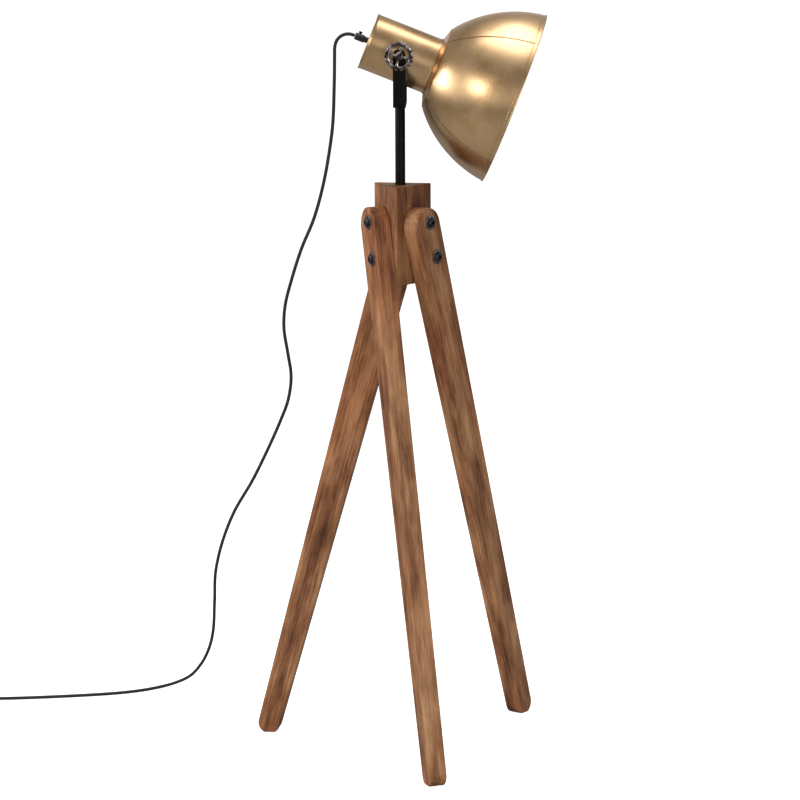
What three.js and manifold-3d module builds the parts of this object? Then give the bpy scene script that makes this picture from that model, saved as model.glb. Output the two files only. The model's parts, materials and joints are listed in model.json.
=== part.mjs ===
// Tripod floor lamp: three wooden legs bolted to a triangular hub, a steel mast with a fork on
// top, and a spun metal spotlight head that tilts in the fork between two clamp handwheels.
// Millimetres, +Z up. The mast axis is vertical and the head points towards +X, a little down.
import * as THREE from 'three';
import { mergeVertices } from 'three/addons/utils/BufferGeometryUtils.js';
import Module from 'manifold-3d';

const wasm = await Module();
wasm.setup();

// ---------------------------------------------------------------- driving dimensions
const FIT_GAP = 0.3; // clearance between pieces that touch

// hub: an upright triangular block
const HUB_SIDE = 95;
const HUB_HEIGHT = 156.5;
const HUB_TOP_Z = 916;
const HUB_EDGE_RADIUS = 3;
const HUB_TURN_DEG = -37.2; // where the first face looks, from +X
const HUB_LEDGE_THICKNESS = 15; // wood that the mast's foot bolt clamps
const HUB_RECESS_DEPTH = 20;
const HUB_RECESS_RADIUS = 13.5;

// legs: tapered bars with round ends, one flat on each hub face
const LEG_NAMES = ['right', 'rear', 'front'];
const LEG_LEAN_DEG = [17.4, 15.3, 16.2];
const LEG_TOP_Z = 881; // highest point on the leg's centre line
const LEG_TOP_RADIUS = 30.2; // half the width at the top
const LEG_FOOT_RADIUS = 18.2; // half the width at the foot
const LEG_FOOT_FLAT = 17; // width of the flat that stands on the floor
const LEG_THICKNESS = 27.5;
const LEG_SHIFTS = [6, 2, 2]; // each leg's centre line beside the middle of its hub face
const LEG_GAP = 0.5; // between the leg and the hub face
const LEG_CHAMFER = 1.6;

// leg fasteners: button-head bolts into threaded inserts in the hub
const BOLT_NAMES = ['upper', 'lower'];
const BOLT_DOWN = [25, 84]; // along the leg from its top
const BOLT_ASIDE = 6;
const BOLT_RADIUS = 4;
const BOLT_HEAD_RADIUS = 8;
const BOLT_HEAD_HEIGHT = 4.4;
const BOLT_EDGE_HEIGHT = 1; // the straight part of the head's edge
const BOLT_DOME_STEPS = 4;
const BOLT_SOCKET_AF = 5; // hexagon key size, across flats
const BOLT_SOCKET_DEPTH = 2.4;
const BOLT_IN_HUB = 14;
const WASHER_RADIUS = 11.8;
const WASHER_THICKNESS = 1.6;
const INSERT_RADIUS = 6;
const INSERT_LENGTH = 15;

// mast
const MAST_RADIUS = 8;
const MAST_WALL = 1.6;
const PLUG_LENGTH = 20;
const MAST_SCREW_RADIUS = 4;
const MAST_SCREW_GRIP = 18; // screw inside the threaded plug
const MAST_WASHER_RADIUS = 11;
const MAST_WASHER_THICKNESS = 2;
const MAST_SCREW_HEAD_AF = 13;
const MAST_SCREW_HEAD_HEIGHT = 5.3;

// fork (the U-shaped yoke) and the tilt pivot
const PIVOT_Z = 1123.7;
const YOKE_DROP = 82; // pivot down to the underside of the yoke
const YOKE_BAR_THICKNESS = 3;
const YOKE_BAR_WIDTH = 20;
const YOKE_BEND_RADIUS = 7;
const SPACER_RADIUS = 8.5;
const SPACER_THICKNESS = 4;
const STUD_RADIUS = 4;
const STUD_INNER_LENGTH = 9; // stud inside the housing wall
const PIVOT_NUT_AF = 13;
const PIVOT_NUT_HEIGHT = 6;

// clamp handwheels
const WHEEL_RADIUS = 23.2;
const WHEEL_FLUTE_DEPTH = 2.2;
const WHEEL_FLUTES = 18;
const STEPS_PER_FLUTE = 4;
const WHEEL_EDGE = 1; // chamfer round the rim
const WHEEL_RIM_INNER_RADIUS = 15.5;
const WHEEL_RIM_THICKNESS = 8;
const WHEEL_RIM_RISE = 3; // the rim stands this far out from the boss's inner face
const WHEEL_BOSS_RADIUS = 6.8;
const WHEEL_BOSS_LENGTH = 13;
const WHEEL_BOSS_CHAMFER = 2;
const WHEEL_SPOKES = 4;
const WHEEL_SPOKE_WIDTH = 4.4;
const WHEEL_SPOKE_THICKNESS = 3.6;
const WHEEL_SPOKE_INTO_RIM = 2;
const WHEEL_TURN_DEG = -15;
const WHEEL_BORE_DEPTH = 10;

// head, measured along its axis from the pivot (back is negative)
const HEAD_TILT_DEG = 21.5; // below the horizontal
const HOUSING_BACK = -53.8;
const HOUSING_FRONT = 56;
const HOUSING_RADIUS = 45;
const SHEET = 1; // metal sheet thickness
const HOUSING_LIP = 1.3; // how far the lips at its two ends stand out
const FRONT_LIP_LENGTH = 2;
const BACK_FLARE_START = 1.6; // from the back edge
const BACK_FLARE_END = 4;
const REAR_CAP_INSET = 2;
const SKIRT_LENGTH = 8;

// shade
const SHADE_CONE_RADIUS = 66;
const SHADE_CONE_DEPTH = 6.2;
const SHADE_BEVEL_RADIUS = 72.7;
const SHADE_BEVEL_DEPTH = 5.8;
const SHADE_RIM_RADIUS = 139.4;
const SHADE_DEPTH = 136; // from the housing's front to the rim
const SHADE_ARC_RADIUS = 194; // curvature of the dome's side
const SHADE_ARC_STEPS = 7;
const SHADE_BEAD = 1.4; // rolled rim, beyond the rim radius
const SHADE_BEAD_LENGTH = 2;

// lamp holder and bulb (screw base 27 mm, 60 mm globe)
const HOLDER_RADIUS = 19.6;
const HOLDER_BACK = 26;
const HOLDER_FRONT = 77;
const HOLDER_CAVITY_RADIUS = 14.9;
const HOLDER_CAVITY_BACK = 40;
const HOLDER_FLANGE_RADIUS = 26;
const HOLDER_FLANGE_THICKNESS = 4;
const HOLDER_BACK_CHAMFER = 3;
const THREAD_SHELL_WALL = 0.6;
const THREAD_SHELL_LENGTH = 24;
const CONTACT_RADIUS = 5;
const CONTACT_THICKNESS = 1.6;
const RING_RADIUS = 28;
const RING_THICKNESS = 6;
const BULB_CAP_RADIUS = 13.3;
const BULB_CAP_LENGTH = 25;
const BULB_CAP_WALL = 0.6;
const BULB_CAP_CHAMFER = 3;
const BULB_CONTACT_HEIGHT = 3;
const BULB_TIP = 153;
const BULB_RADIUS = 30;
const GLASS_WALL = 1;
const GLASS_NECK_RADIUS = 12.2;
const GLASS_NECK_DEPTH = 6; // how far the neck sits inside the cap
const GLASS_FLARE = 4.4; // how much wider the neck is at its flare
const GLASS_FLARE_DEPTH = 17; // the flare's distance from the cap
const GLOBE_START_DEG = -48; // where the globe leaves the neck, below its equator
const GLOBE_STEPS = 8;

// cable gland
const GLAND_END = -75.7;
const GLAND_BODY_RADIUS = 5.9;
const GLAND_BODY_LENGTH = 15.6;
const GLAND_NECK_RADIUS = 4.8;
const GLAND_INNER_END = -43.5;
const GLAND_BORE_DEPTH = 9;
const GLAND_CHAMFER = 1;
const GLAND_NUT_AF = 14;
const GLAND_NUT_HEIGHT = 4;
const SET_SCREW_RADIUS = 1.5;
const SET_SCREW_HEAD_RADIUS = 3;
const SET_SCREW_HEAD_HEIGHT = 2.8;
const SET_SCREW_RISE = 0.8;
const SET_SCREW_CHAMFER = 0.8;
const SET_SCREW_FROM_END = 6.5;

// mains cord
const CORD_DIAMETER = 5.5;
const CORD_SIDES = 8;
const LEAD_RADIUS = 1.1;
const LEAD_SPREAD = 1.4;
const COIL_TURNS_ACROSS = 2;
const COIL_LAYERS = 2;
const COIL_MEAN_RADIUS = 31;
const COIL_EASE = 0.7; // the coil's rounded corners, as a share of the cord's radius
const COIL_CENTRE = [-748, 287.7];
const PLUG_BODY_LENGTH = 34;
const PLUG_BODY_WIDTH = 26;
const PLUG_BODY_THICKNESS = 13.7;
const PLUG_BOOT_LENGTH = 22;
const PLUG_BOOT_RADIUS = 5.2;
const PLUG_BOOT_WALL = 0.6; // at its thin end
const PLUG_SHOULDER = 3; // how much narrower the body is where it starts to widen
const PLUG_SHOULDER_START = 10;
const PLUG_SHOULDER_END = 17;
const PLUG_EDGE = 1.5;
const PLUG_PIN_RADIUS = 2;
const PLUG_PIN_LENGTH = 19;
const PLUG_PIN_SPACING = 18.6;
const TAIL_LENGTH = 34; // cord between the coil and the plug
const TAIL_GAP = 2; // from the coil

// The cord's route from the gland to the floor, and along it to the coil (x, y, z).
const CORD_UPPER_POINTS = [
  [-73.5, 0, 1152.7], [-81.2, 0, 1154.1], [-89.1, 0, 1152.6], [-96, 0.1, 1148],
  [-100.7, 0.4, 1141], [-102.6, 1, 1132.5], [-103, 2.2, 1117], [-103.4, 4.8, 1096],
  [-104.4, 9, 1065], [-106.8, 17, 1016], [-110.6, 24, 984], [-122.6, 39, 918], [-139.6, 55, 856.5],
  [-161.9, 71, 802.5],
];
const CORD_LOWER_POINTS = [
  [-161.9, 71, 802.5], [-179.7, 87, 747.8], [-190.5, 101, 706], [-193.5, 113, 667],
  [-188.2, 126, 623], [-184, 139, 583], [-190, 154, 541], [-204.5, 170, 501.5],
  [-228.5, 191, 446.6], [-255.4, 213, 391], [-287.2, 236, 334.5], [-309.6, 258, 277.5],
  [-324, 282, 219], [-328.4, 305, 160.5], [-333.5, 328, 103], [-343, 344, 66],
  [-357, 352, 38], [-376, 352, 17], [-400, 344, 7], [-430, 326, 3.1], [-462, 304, 2.9],
  [-500, 288, 2.9], [-547, 276, 2.9], [-600, 266, 2.9], [-650, 258.5, 2.9], [-690, 254.6, 2.9],
  [-728, 253.95, 2.9],
];
const CORD_UPPER_STEPS = 26;
const CORD_LOWER_STEPS = 54;

// facets round a circle
const SMALL_ROUND = 12;
const BOLT_ROUND = 16;
const TUBE_ROUND = 24;
const HOLDER_ROUND = 28;
const HOUSING_ROUND = 32;
const SHADE_ROUND = 40;
const BULB_ROUND = 20;

// ---------------------------------------------------------------- finishes
const finish = (color, roughness, metalness) => new THREE.MeshStandardMaterial({
  color, roughness, metalness,
});
const BRASS = finish(0xb8935c, 0.35, 1);
const WOOD = finish(0x966f50, 0.6, 0);
const BLACK_STEEL = finish(0x161412, 0.5, 0.6);
const GUNMETAL = finish(0x6d6464, 0.35, 1);
const DARK_STEEL = finish(0x323237, 0.4, 0.9);
const ZINC = finish(0xa8a9ad, 0.35, 1);
const BLACK_PLASTIC = finish(0x1b1a1a, 0.5, 0);
const CERAMIC = finish(0xe8e4da, 0.4, 0);
const GLASS = finish(0xf4f0e4, 0.2, 0);
const CORD_COVER = finish(0x2a2725, 0.8, 0);
const LIVE_LEAD = finish(0x5a3a22, 0.5, 0);
const NEUTRAL_LEAD = finish(0x2b5fa8, 0.5, 0);

// ---------------------------------------------------------------- solid helpers
const rad = THREE.MathUtils.degToRad;

/** Drops all but position, joins equal vertices and removes triangles of no area. */
function weld(geometry) {
  const bare = geometry.clone();
  bare.deleteAttribute('normal');
  bare.deleteAttribute('uv');
  const merged = mergeVertices(bare);
  const kept = [];
  const index = merged.index.array;
  for (let i = 0; i < index.length; i += 3) {
    const [a, b, c] = [index[i], index[i + 1], index[i + 2]];
    if (a !== b && b !== c && c !== a) kept.push(a, b, c);
  }
  merged.setIndex(kept);
  return merged;
}

/** Six times the signed volume of a closed, welded geometry. */
function signedVolume(geometry) {
  const position = geometry.attributes.position;
  const index = geometry.index.array;
  const corner = [0, 1, 2].map(() => new THREE.Vector3());
  let volume = 0;
  for (let i = 0; i < index.length; i += 3) {
    corner.forEach((v, k) => v.fromBufferAttribute(position, index[i + k]));
    volume += corner[0].dot(corner[1].cross(corner[2]));
  }
  return volume;
}

/** A welded copy whose faces point out. */
function faceOut(geometry) {
  const closed = weld(geometry);
  if (signedVolume(closed) < 0) {
    closed.setIndex(Array.from(closed.index.array).reverse());
  }
  return closed;
}

function toSolid(geometry) {
  const closed = faceOut(geometry);
  return new wasm.Manifold(new wasm.Mesh({
    numProp: 3,
    vertProperties: new Float32Array(closed.attributes.position.array),
    triVerts: new Uint32Array(closed.index.array),
  }));
}

function toGeometry(solid) {
  const mesh = solid.getMesh();
  const geometry = new THREE.BufferGeometry();
  geometry.setAttribute('position', new THREE.BufferAttribute(mesh.vertProperties, mesh.numProp));
  geometry.setIndex(new THREE.BufferAttribute(mesh.triVerts, 1));
  return geometry;
}

/** The first geometry with the others cut out of it. */
function cut(base, ...tools) {
  return toGeometry(tools.reduce((solid, tool) => solid.subtract(toSolid(tool)), toSolid(base)));
}

/** All the geometries joined into one. */
function join(...pieces) {
  const solids = pieces.map(toSolid);
  return toGeometry(solids.reduce((whole, solid) => whole.add(solid)));
}

/** A solid of revolution about Z from [radius, z] points, which start and end on the axis. */
function turned(points, sides) {
  const profile = points.map(([r, z]) => new THREE.Vector2(r, z));
  return new THREE.LatheGeometry(profile, sides).rotateX(Math.PI / 2);
}

/** A ring about Z from a closed loop of [radius, z] points. */
function turnedLoop(points, sides) {
  return turned([...points, points[0]], sides);
}

function rod(radius, z0, z1, sides) {
  return turned([[0, z0], [radius, z0], [radius, z1], [0, z1]], sides);
}

function ring(inner, outer, z0, z1, sides) {
  return turnedLoop([[inner, z0], [outer, z0], [outer, z1], [inner, z1]], sides);
}

/** A hexagonal prism about Z, sized across its flats. */
function hexagon(acrossFlats, z0, z1) {
  return rod(acrossFlats / Math.sqrt(3), z0, z1, 6);
}

/** A nut or other hexagon with a plain hole through it. */
function nut(acrossFlats, hole, z0, z1) {
  return cut(hexagon(acrossFlats, z0, z1), rod(hole, z0 - 1, z1 + 1, SMALL_ROUND));
}

/** A round bar along a curve, closed at both ends. */
function roundBar(curve, radius, sides, steps) {
  const section = new THREE.Shape();
  for (let i = 0; i < sides; i += 1) {
    const angle = (2 * Math.PI * (i + 0.5)) / sides;
    const point = [radius * Math.cos(angle), radius * Math.sin(angle)];
    if (i === 0) section.moveTo(...point);
    else section.lineTo(...point);
  }
  return new THREE.ExtrudeGeometry(section, {
    extrudePath: curve, steps, bevelEnabled: false,
  });
}

function smoothCurve(points) {
  return new THREE.CatmullRomCurve3(points.map((p) => new THREE.Vector3(...p)), false, 'centripetal');
}

/** Adds a named mesh of one closed solid to a group. */
function addPiece(group, name, geometry, material) {
  const mesh = new THREE.Mesh(faceOut(geometry), material);
  mesh.name = name;
  group.add(mesh);
  return mesh;
}

/** Turns what is drawn along +Z to point along +X. */
const alongX = (geometry) => geometry.rotateY(Math.PI / 2);

/** Turns what is drawn along +Z to point along +Y (side 1) or -Y (side -1). */
const alongY = (geometry, side) => geometry.rotateX((-side * Math.PI) / 2);

const lamp = new THREE.Group();

// ---------------------------------------------------------------- legs and hub
const hubInradius = HUB_SIDE / (2 * Math.sqrt(3));
const hubBottomZ = HUB_TOP_Z - HUB_HEIGHT;
const hubMiddleZ = (HUB_TOP_Z + hubBottomZ) / 2;
const legInnerX = hubInradius + LEG_GAP;
const legOuterX = legInnerX + LEG_THICKNESS;
const footCentreZ = Math.sqrt(LEG_FOOT_RADIUS ** 2 - (LEG_FOOT_FLAT / 2) ** 2);

const legs = LEG_NAMES.map((name, i) => ({
  name, lean: rad(LEG_LEAN_DEG[i]), shift: LEG_SHIFTS[i],
}));

/** A point on a leg's centre line at a height, as [sideways, z] in its hub face's plane. */
function onLegLine(leg, z) {
  return [leg.shift + (hubMiddleZ - z) * Math.tan(leg.lean), z];
}

/** Where a leg's bolts pass through it, as [sideways, z]. */
function boltPlaces(leg) {
  return BOLT_DOWN.map((down) => {
    const [side, z] = onLegLine(leg, LEG_TOP_Z - down * Math.cos(leg.lean));
    return [side + BOLT_ASIDE * Math.cos(leg.lean), z + BOLT_ASIDE * Math.sin(leg.lean)];
  });
}

/** The leg's broad face: two circles joined by their outer tangents, flat on the floor. */
function legOutline(leg) {
  const [topY, topZ] = onLegLine(leg, LEG_TOP_Z - LEG_TOP_RADIUS * Math.cos(leg.lean));
  const [footY, footZ] = onLegLine(leg, footCentreZ);
  const length = Math.hypot(topY - footY, topZ - footZ);
  const down = Math.atan2(footZ - topZ, footY - topY);
  const tangent = Math.PI / 2 - Math.asin((LEG_TOP_RADIUS - LEG_FOOT_RADIUS) / length);
  const flat = Math.asin(footCentreZ / LEG_FOOT_RADIUS);
  const outline = new THREE.Shape();
  outline.absarc(footY, footZ, LEG_FOOT_RADIUS, -flat, down + tangent);
  outline.absarc(topY, topZ, LEG_TOP_RADIUS, down + tangent, down - tangent + 2 * Math.PI);
  outline.absarc(footY, footZ, LEG_FOOT_RADIUS, down - tangent + 2 * Math.PI, Math.PI + flat);
  return outline;
}

/** A leg in the frame of its hub face: X out of the face, Y along the lean, Z up. */
function legGeometry(leg) {
  const bar = new THREE.ExtrudeGeometry(legOutline(leg), {
    depth: LEG_THICKNESS - 2 * LEG_CHAMFER,
    bevelThickness: LEG_CHAMFER,
    bevelSize: LEG_CHAMFER,
    bevelOffset: -LEG_CHAMFER,
    bevelSegments: 1,
    curveSegments: 6,
  });
  const toFace = new THREE.Matrix4().makeBasis(
    new THREE.Vector3(0, 1, 0),
    new THREE.Vector3(0, 0, 1),
    new THREE.Vector3(1, 0, 0),
  );
  bar.applyMatrix4(toFace).translate(legInnerX + LEG_CHAMFER, 0, 0);
  const holes = boltPlaces(leg).map(([y, z]) => (
    alongX(rod(BOLT_RADIUS + FIT_GAP, legInnerX - 1, legOuterX + 1, SMALL_ROUND))
      .translate(0, y, z)
  ));
  return cut(bar, ...holes);
}

/** A button-head bolt whose head sits on the plane z = 0 and whose shank points to -Z. */
function buttonBolt(shankLength) {
  const dome = [];
  for (let i = 0; i <= BOLT_DOME_STEPS; i += 1) {
    const angle = ((i / BOLT_DOME_STEPS) * Math.PI) / 2;
    const height = BOLT_EDGE_HEIGHT + (BOLT_HEAD_HEIGHT - BOLT_EDGE_HEIGHT) * Math.cos(angle);
    dome.push([BOLT_HEAD_RADIUS * Math.sin(angle), height]);
  }
  const profile = [
    [0, -shankLength], [BOLT_RADIUS, -shankLength], [BOLT_RADIUS, 0],
    [BOLT_HEAD_RADIUS, 0], ...dome.reverse(),
  ];
  const socketBottom = BOLT_HEAD_HEIGHT - BOLT_SOCKET_DEPTH;
  return cut(
    turned(profile, BOLT_ROUND),
    hexagon(BOLT_SOCKET_AF, socketBottom, BOLT_HEAD_HEIGHT + 1),
  );
}

function addLeg(group, leg) {
  addPiece(group, `leg_${leg.name}`, legGeometry(leg), WOOD);
  const washerX = legOuterX + FIT_GAP;
  const headX = washerX + WASHER_THICKNESS + FIT_GAP;
  const shankLength = headX - hubInradius + BOLT_IN_HUB;
  boltPlaces(leg).forEach(([y, z], i) => {
    const place = `${leg.name}_${BOLT_NAMES[i]}`;
    const washer = ring(
      BOLT_RADIUS + FIT_GAP, WASHER_RADIUS, washerX, washerX + WASHER_THICKNESS, BOLT_ROUND,
    );
    addPiece(group, `washer_${place}`, alongX(washer).translate(0, y, z), DARK_STEEL);
    const bolt = alongX(buttonBolt(shankLength)).translate(headX, y, z);
    addPiece(group, `bolt_${place}`, bolt, DARK_STEEL);
    const insertOuter = hubInradius - FIT_GAP;
    const insert = ring(
      BOLT_RADIUS + FIT_GAP, INSERT_RADIUS, insertOuter - INSERT_LENGTH, insertOuter, SMALL_ROUND,
    );
    addPiece(group, `insert_${place}`, alongX(insert).translate(0, y, z), ZINC);
  });
}

/** The triangular outline of the hub with eased corners, one face looking along +X. */
function hubOutline() {
  const cornerDistance = HUB_SIDE / Math.sqrt(3) - 2 * HUB_EDGE_RADIUS;
  const outline = new THREE.Shape();
  for (let i = 0; i < 3; i += 1) {
    const towards = rad(60 + 120 * i);
    outline.absarc(
      cornerDistance * Math.cos(towards), cornerDistance * Math.sin(towards),
      HUB_EDGE_RADIUS, towards - rad(60), towards + rad(60),
    );
  }
  return outline;
}

const mastFootZ = hubBottomZ + HUB_RECESS_DEPTH + HUB_LEDGE_THICKNESS + FIT_GAP;

function hubGeometry() {
  const block = new THREE.ExtrudeGeometry(hubOutline(), {
    depth: HUB_HEIGHT, bevelEnabled: false, curveSegments: 3,
  }).translate(0, 0, hubBottomZ);
  const tools = [
    rod(MAST_RADIUS + FIT_GAP, mastFootZ - FIT_GAP, HUB_TOP_Z + 1, TUBE_ROUND),
    rod(MAST_SCREW_RADIUS + FIT_GAP, hubBottomZ, mastFootZ + 1, SMALL_ROUND),
    rod(HUB_RECESS_RADIUS, hubBottomZ - 1, hubBottomZ + HUB_RECESS_DEPTH, TUBE_ROUND),
  ];
  const pocketBottom = hubInradius - INSERT_LENGTH - 2 * FIT_GAP;
  legs.forEach((leg, i) => {
    boltPlaces(leg).forEach(([y, z]) => {
      const pocket = rod(INSERT_RADIUS + FIT_GAP, pocketBottom, hubInradius + 1, SMALL_ROUND);
      tools.push(alongX(pocket).translate(0, y, z).rotateZ(rad(120 * i)));
    });
  });
  return cut(block, ...tools);
}

const tripod = new THREE.Group();
tripod.rotation.z = rad(HUB_TURN_DEG);
lamp.add(tripod);
addPiece(tripod, 'hub_block', hubGeometry(), WOOD);
legs.forEach((leg, i) => {
  const legGroup = new THREE.Group();
  legGroup.rotation.z = rad(120 * i);
  tripod.add(legGroup);
  addLeg(legGroup, leg);
});

// ---------------------------------------------------------------- mast
const yokeUndersideZ = PIVOT_Z - YOKE_DROP;
const mastTopZ = yokeUndersideZ - FIT_GAP;
const mastBore = MAST_RADIUS - MAST_WALL;

/** A hexagon-head screw on the axis: head from z0 in direction up (1) or down (-1). */
function hexScrew(headBaseZ, direction, shankEndZ) {
  const headEnd = headBaseZ + direction * MAST_SCREW_HEAD_HEIGHT;
  const [headLow, headHigh] = [Math.min(headBaseZ, headEnd), Math.max(headBaseZ, headEnd)];
  const head = hexagon(MAST_SCREW_HEAD_AF, headLow, headHigh);
  const inHead = headBaseZ + direction;
  const shank = rod(
    MAST_SCREW_RADIUS, Math.min(inHead, shankEndZ), Math.max(inHead, shankEndZ), SMALL_ROUND,
  );
  return join(head, shank);
}

function addMast(group) {
  const tube = ring(mastBore, MAST_RADIUS, mastFootZ, mastTopZ, TUBE_ROUND);
  addPiece(group, 'mast_tube', tube, BLACK_STEEL);
  const plugBore = MAST_SCREW_RADIUS + FIT_GAP;
  const plugRadius = mastBore - FIT_GAP;
  const footPlug = ring(plugBore, plugRadius, mastFootZ, mastFootZ + PLUG_LENGTH, SMALL_ROUND);
  addPiece(group, 'mast_foot_plug', footPlug, ZINC);
  const topPlug = ring(plugBore, plugRadius, mastTopZ - PLUG_LENGTH, mastTopZ, SMALL_ROUND);
  addPiece(group, 'mast_top_plug', topPlug, ZINC);

  const recessTop = hubBottomZ + HUB_RECESS_DEPTH;
  const washerLow = recessTop - FIT_GAP - MAST_WASHER_THICKNESS;
  const footWasher = ring(plugBore, MAST_WASHER_RADIUS, washerLow, recessTop - FIT_GAP, BOLT_ROUND);
  addPiece(group, 'mast_foot_washer', footWasher, ZINC);
  const footScrew = hexScrew(washerLow - FIT_GAP, -1, mastFootZ + MAST_SCREW_GRIP);
  addPiece(group, 'mast_foot_screw', footScrew, ZINC);

  const yokeFloorZ = yokeUndersideZ + YOKE_BAR_THICKNESS;
  const topWasherLow = yokeFloorZ + FIT_GAP;
  const topWasherHigh = topWasherLow + MAST_WASHER_THICKNESS;
  const topWasher = ring(plugBore, SPACER_RADIUS, topWasherLow, topWasherHigh, BOLT_ROUND);
  addPiece(group, 'yoke_washer', topWasher, ZINC);
  const topScrew = hexScrew(topWasherHigh + FIT_GAP, 1, mastTopZ - MAST_SCREW_GRIP);
  addPiece(group, 'yoke_screw', topScrew, BLACK_STEEL);
}
addMast(lamp);

// ---------------------------------------------------------------- yoke
const armInner = HOUSING_RADIUS + SPACER_THICKNESS + 2 * FIT_GAP;
const armOuter = armInner + YOKE_BAR_THICKNESS;
const bossInner = armOuter + FIT_GAP;

/** The bent bar seen along X, as a shape in (y, z), with its arms up to the pivot. */
function yokeSection() {
  const low = yokeUndersideZ;
  const inside = YOKE_BEND_RADIUS - YOKE_BAR_THICKNESS;
  const section = new THREE.Shape();
  section.moveTo(armOuter, PIVOT_Z);
  section.lineTo(armInner, PIVOT_Z);
  section.absarc(armInner - inside, low + YOKE_BEND_RADIUS, inside, 0, -Math.PI / 2, true);
  section.absarc(inside - armInner, low + YOKE_BEND_RADIUS, inside, -Math.PI / 2, -Math.PI, true);
  section.lineTo(-armInner, PIVOT_Z);
  section.lineTo(-armOuter, PIVOT_Z);
  section.absarc(inside - armInner, low + YOKE_BEND_RADIUS, YOKE_BEND_RADIUS, Math.PI, 1.5 * Math.PI);
  section.absarc(armInner - inside, low + YOKE_BEND_RADIUS, YOKE_BEND_RADIUS, -Math.PI / 2, 0);
  return section;
}

function yokeGeometry() {
  const bent = new THREE.ExtrudeGeometry(yokeSection(), {
    depth: YOKE_BAR_WIDTH, bevelEnabled: false, curveSegments: 3,
  });
  bent.applyMatrix4(new THREE.Matrix4().makeBasis(
    new THREE.Vector3(0, 1, 0),
    new THREE.Vector3(0, 0, 1),
    new THREE.Vector3(1, 0, 0),
  )).translate(-YOKE_BAR_WIDTH / 2, 0, 0);
  const armEnds = [1, -1].map((side) => (
    alongY(rod(YOKE_BAR_WIDTH / 2, armInner, armOuter, TUBE_ROUND), side).translate(0, 0, PIVOT_Z)
  ));
  const pivotHole = alongY(rod(STUD_RADIUS + FIT_GAP, -armOuter - 1, armOuter + 1, SMALL_ROUND), 1)
    .translate(0, 0, PIVOT_Z);
  const mastHole = rod(
    MAST_SCREW_RADIUS + FIT_GAP, yokeUndersideZ - 1, yokeUndersideZ + YOKE_BAR_THICKNESS + 1, SMALL_ROUND,
  );
  return cut(join(bent, ...armEnds), pivotHole, mastHole);
}
addPiece(lamp, 'yoke', yokeGeometry(), BLACK_STEEL);

// ---------------------------------------------------------------- handwheels
/** A clamp handwheel about Z, its boss face on z = 0 and its front towards +Z. */
function wheelGeometry() {
  const rimShape = new THREE.Shape();
  const steps = WHEEL_FLUTES * STEPS_PER_FLUTE;
  for (let i = 0; i < steps; i += 1) {
    const angle = (2 * Math.PI * i) / steps;
    const wave = 0.5 + 0.5 * Math.cos(WHEEL_FLUTES * angle);
    const radius = WHEEL_RADIUS - WHEEL_FLUTE_DEPTH * (1 - wave);
    const point = [radius * Math.cos(angle), radius * Math.sin(angle)];
    if (i === 0) rimShape.moveTo(...point);
    else rimShape.lineTo(...point);
  }
  const inner = new THREE.Path();
  inner.absarc(0, 0, WHEEL_RIM_INNER_RADIUS, 0, 2 * Math.PI, true);
  rimShape.holes.push(inner);
  const rim = new THREE.ExtrudeGeometry(rimShape, {
    depth: WHEEL_RIM_THICKNESS - 2 * WHEEL_EDGE,
    bevelThickness: WHEEL_EDGE,
    bevelSize: WHEEL_EDGE,
    bevelOffset: -WHEEL_EDGE,
    bevelSegments: 1,
    curveSegments: 12,
  }).translate(0, 0, WHEEL_RIM_RISE + WHEEL_EDGE);
  const boss = turned([
    [0, 0], [WHEEL_BOSS_RADIUS, 0], [WHEEL_BOSS_RADIUS, WHEEL_BOSS_LENGTH - WHEEL_BOSS_CHAMFER],
    [WHEEL_BOSS_RADIUS - WHEEL_BOSS_CHAMFER, WHEEL_BOSS_LENGTH], [0, WHEEL_BOSS_LENGTH],
  ], BOLT_ROUND);
  const spokes = [];
  const spokeLength = WHEEL_RIM_INNER_RADIUS + WHEEL_SPOKE_INTO_RIM;
  for (let i = 0; i < WHEEL_SPOKES; i += 1) {
    const spoke = new THREE.BoxGeometry(WHEEL_SPOKE_WIDTH, spokeLength, WHEEL_SPOKE_THICKNESS);
    spoke.translate(0, spokeLength / 2, WHEEL_RIM_RISE + WHEEL_RIM_THICKNESS / 2);
    spokes.push(spoke.rotateZ(rad(WHEEL_TURN_DEG + (360 / WHEEL_SPOKES) * i)));
  }
  const bore = rod(STUD_RADIUS + FIT_GAP, -1, WHEEL_BORE_DEPTH, SMALL_ROUND);
  return cut(join(rim, boss, ...spokes), bore);
}

// ---------------------------------------------------------------- head
const head = new THREE.Group();
head.position.z = PIVOT_Z;
head.rotation.y = rad(90 + HEAD_TILT_DEG);
lamp.add(head);

/** Offsets an open [radius, z] profile of a sheet sideways, to the right of its direction. */
function offsetProfile(points, distance) {
  return points.map((point, i) => {
    const before = points[Math.max(i - 1, 0)];
    const after = points[Math.min(i + 1, points.length - 1)];
    const direction = new THREE.Vector2(after[0] - before[0], after[1] - before[1]).normalize();
    return [point[0] - direction.y * distance, point[1] + direction.x * distance];
  });
}

const wallInner = HOUSING_RADIUS - SHEET;

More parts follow.
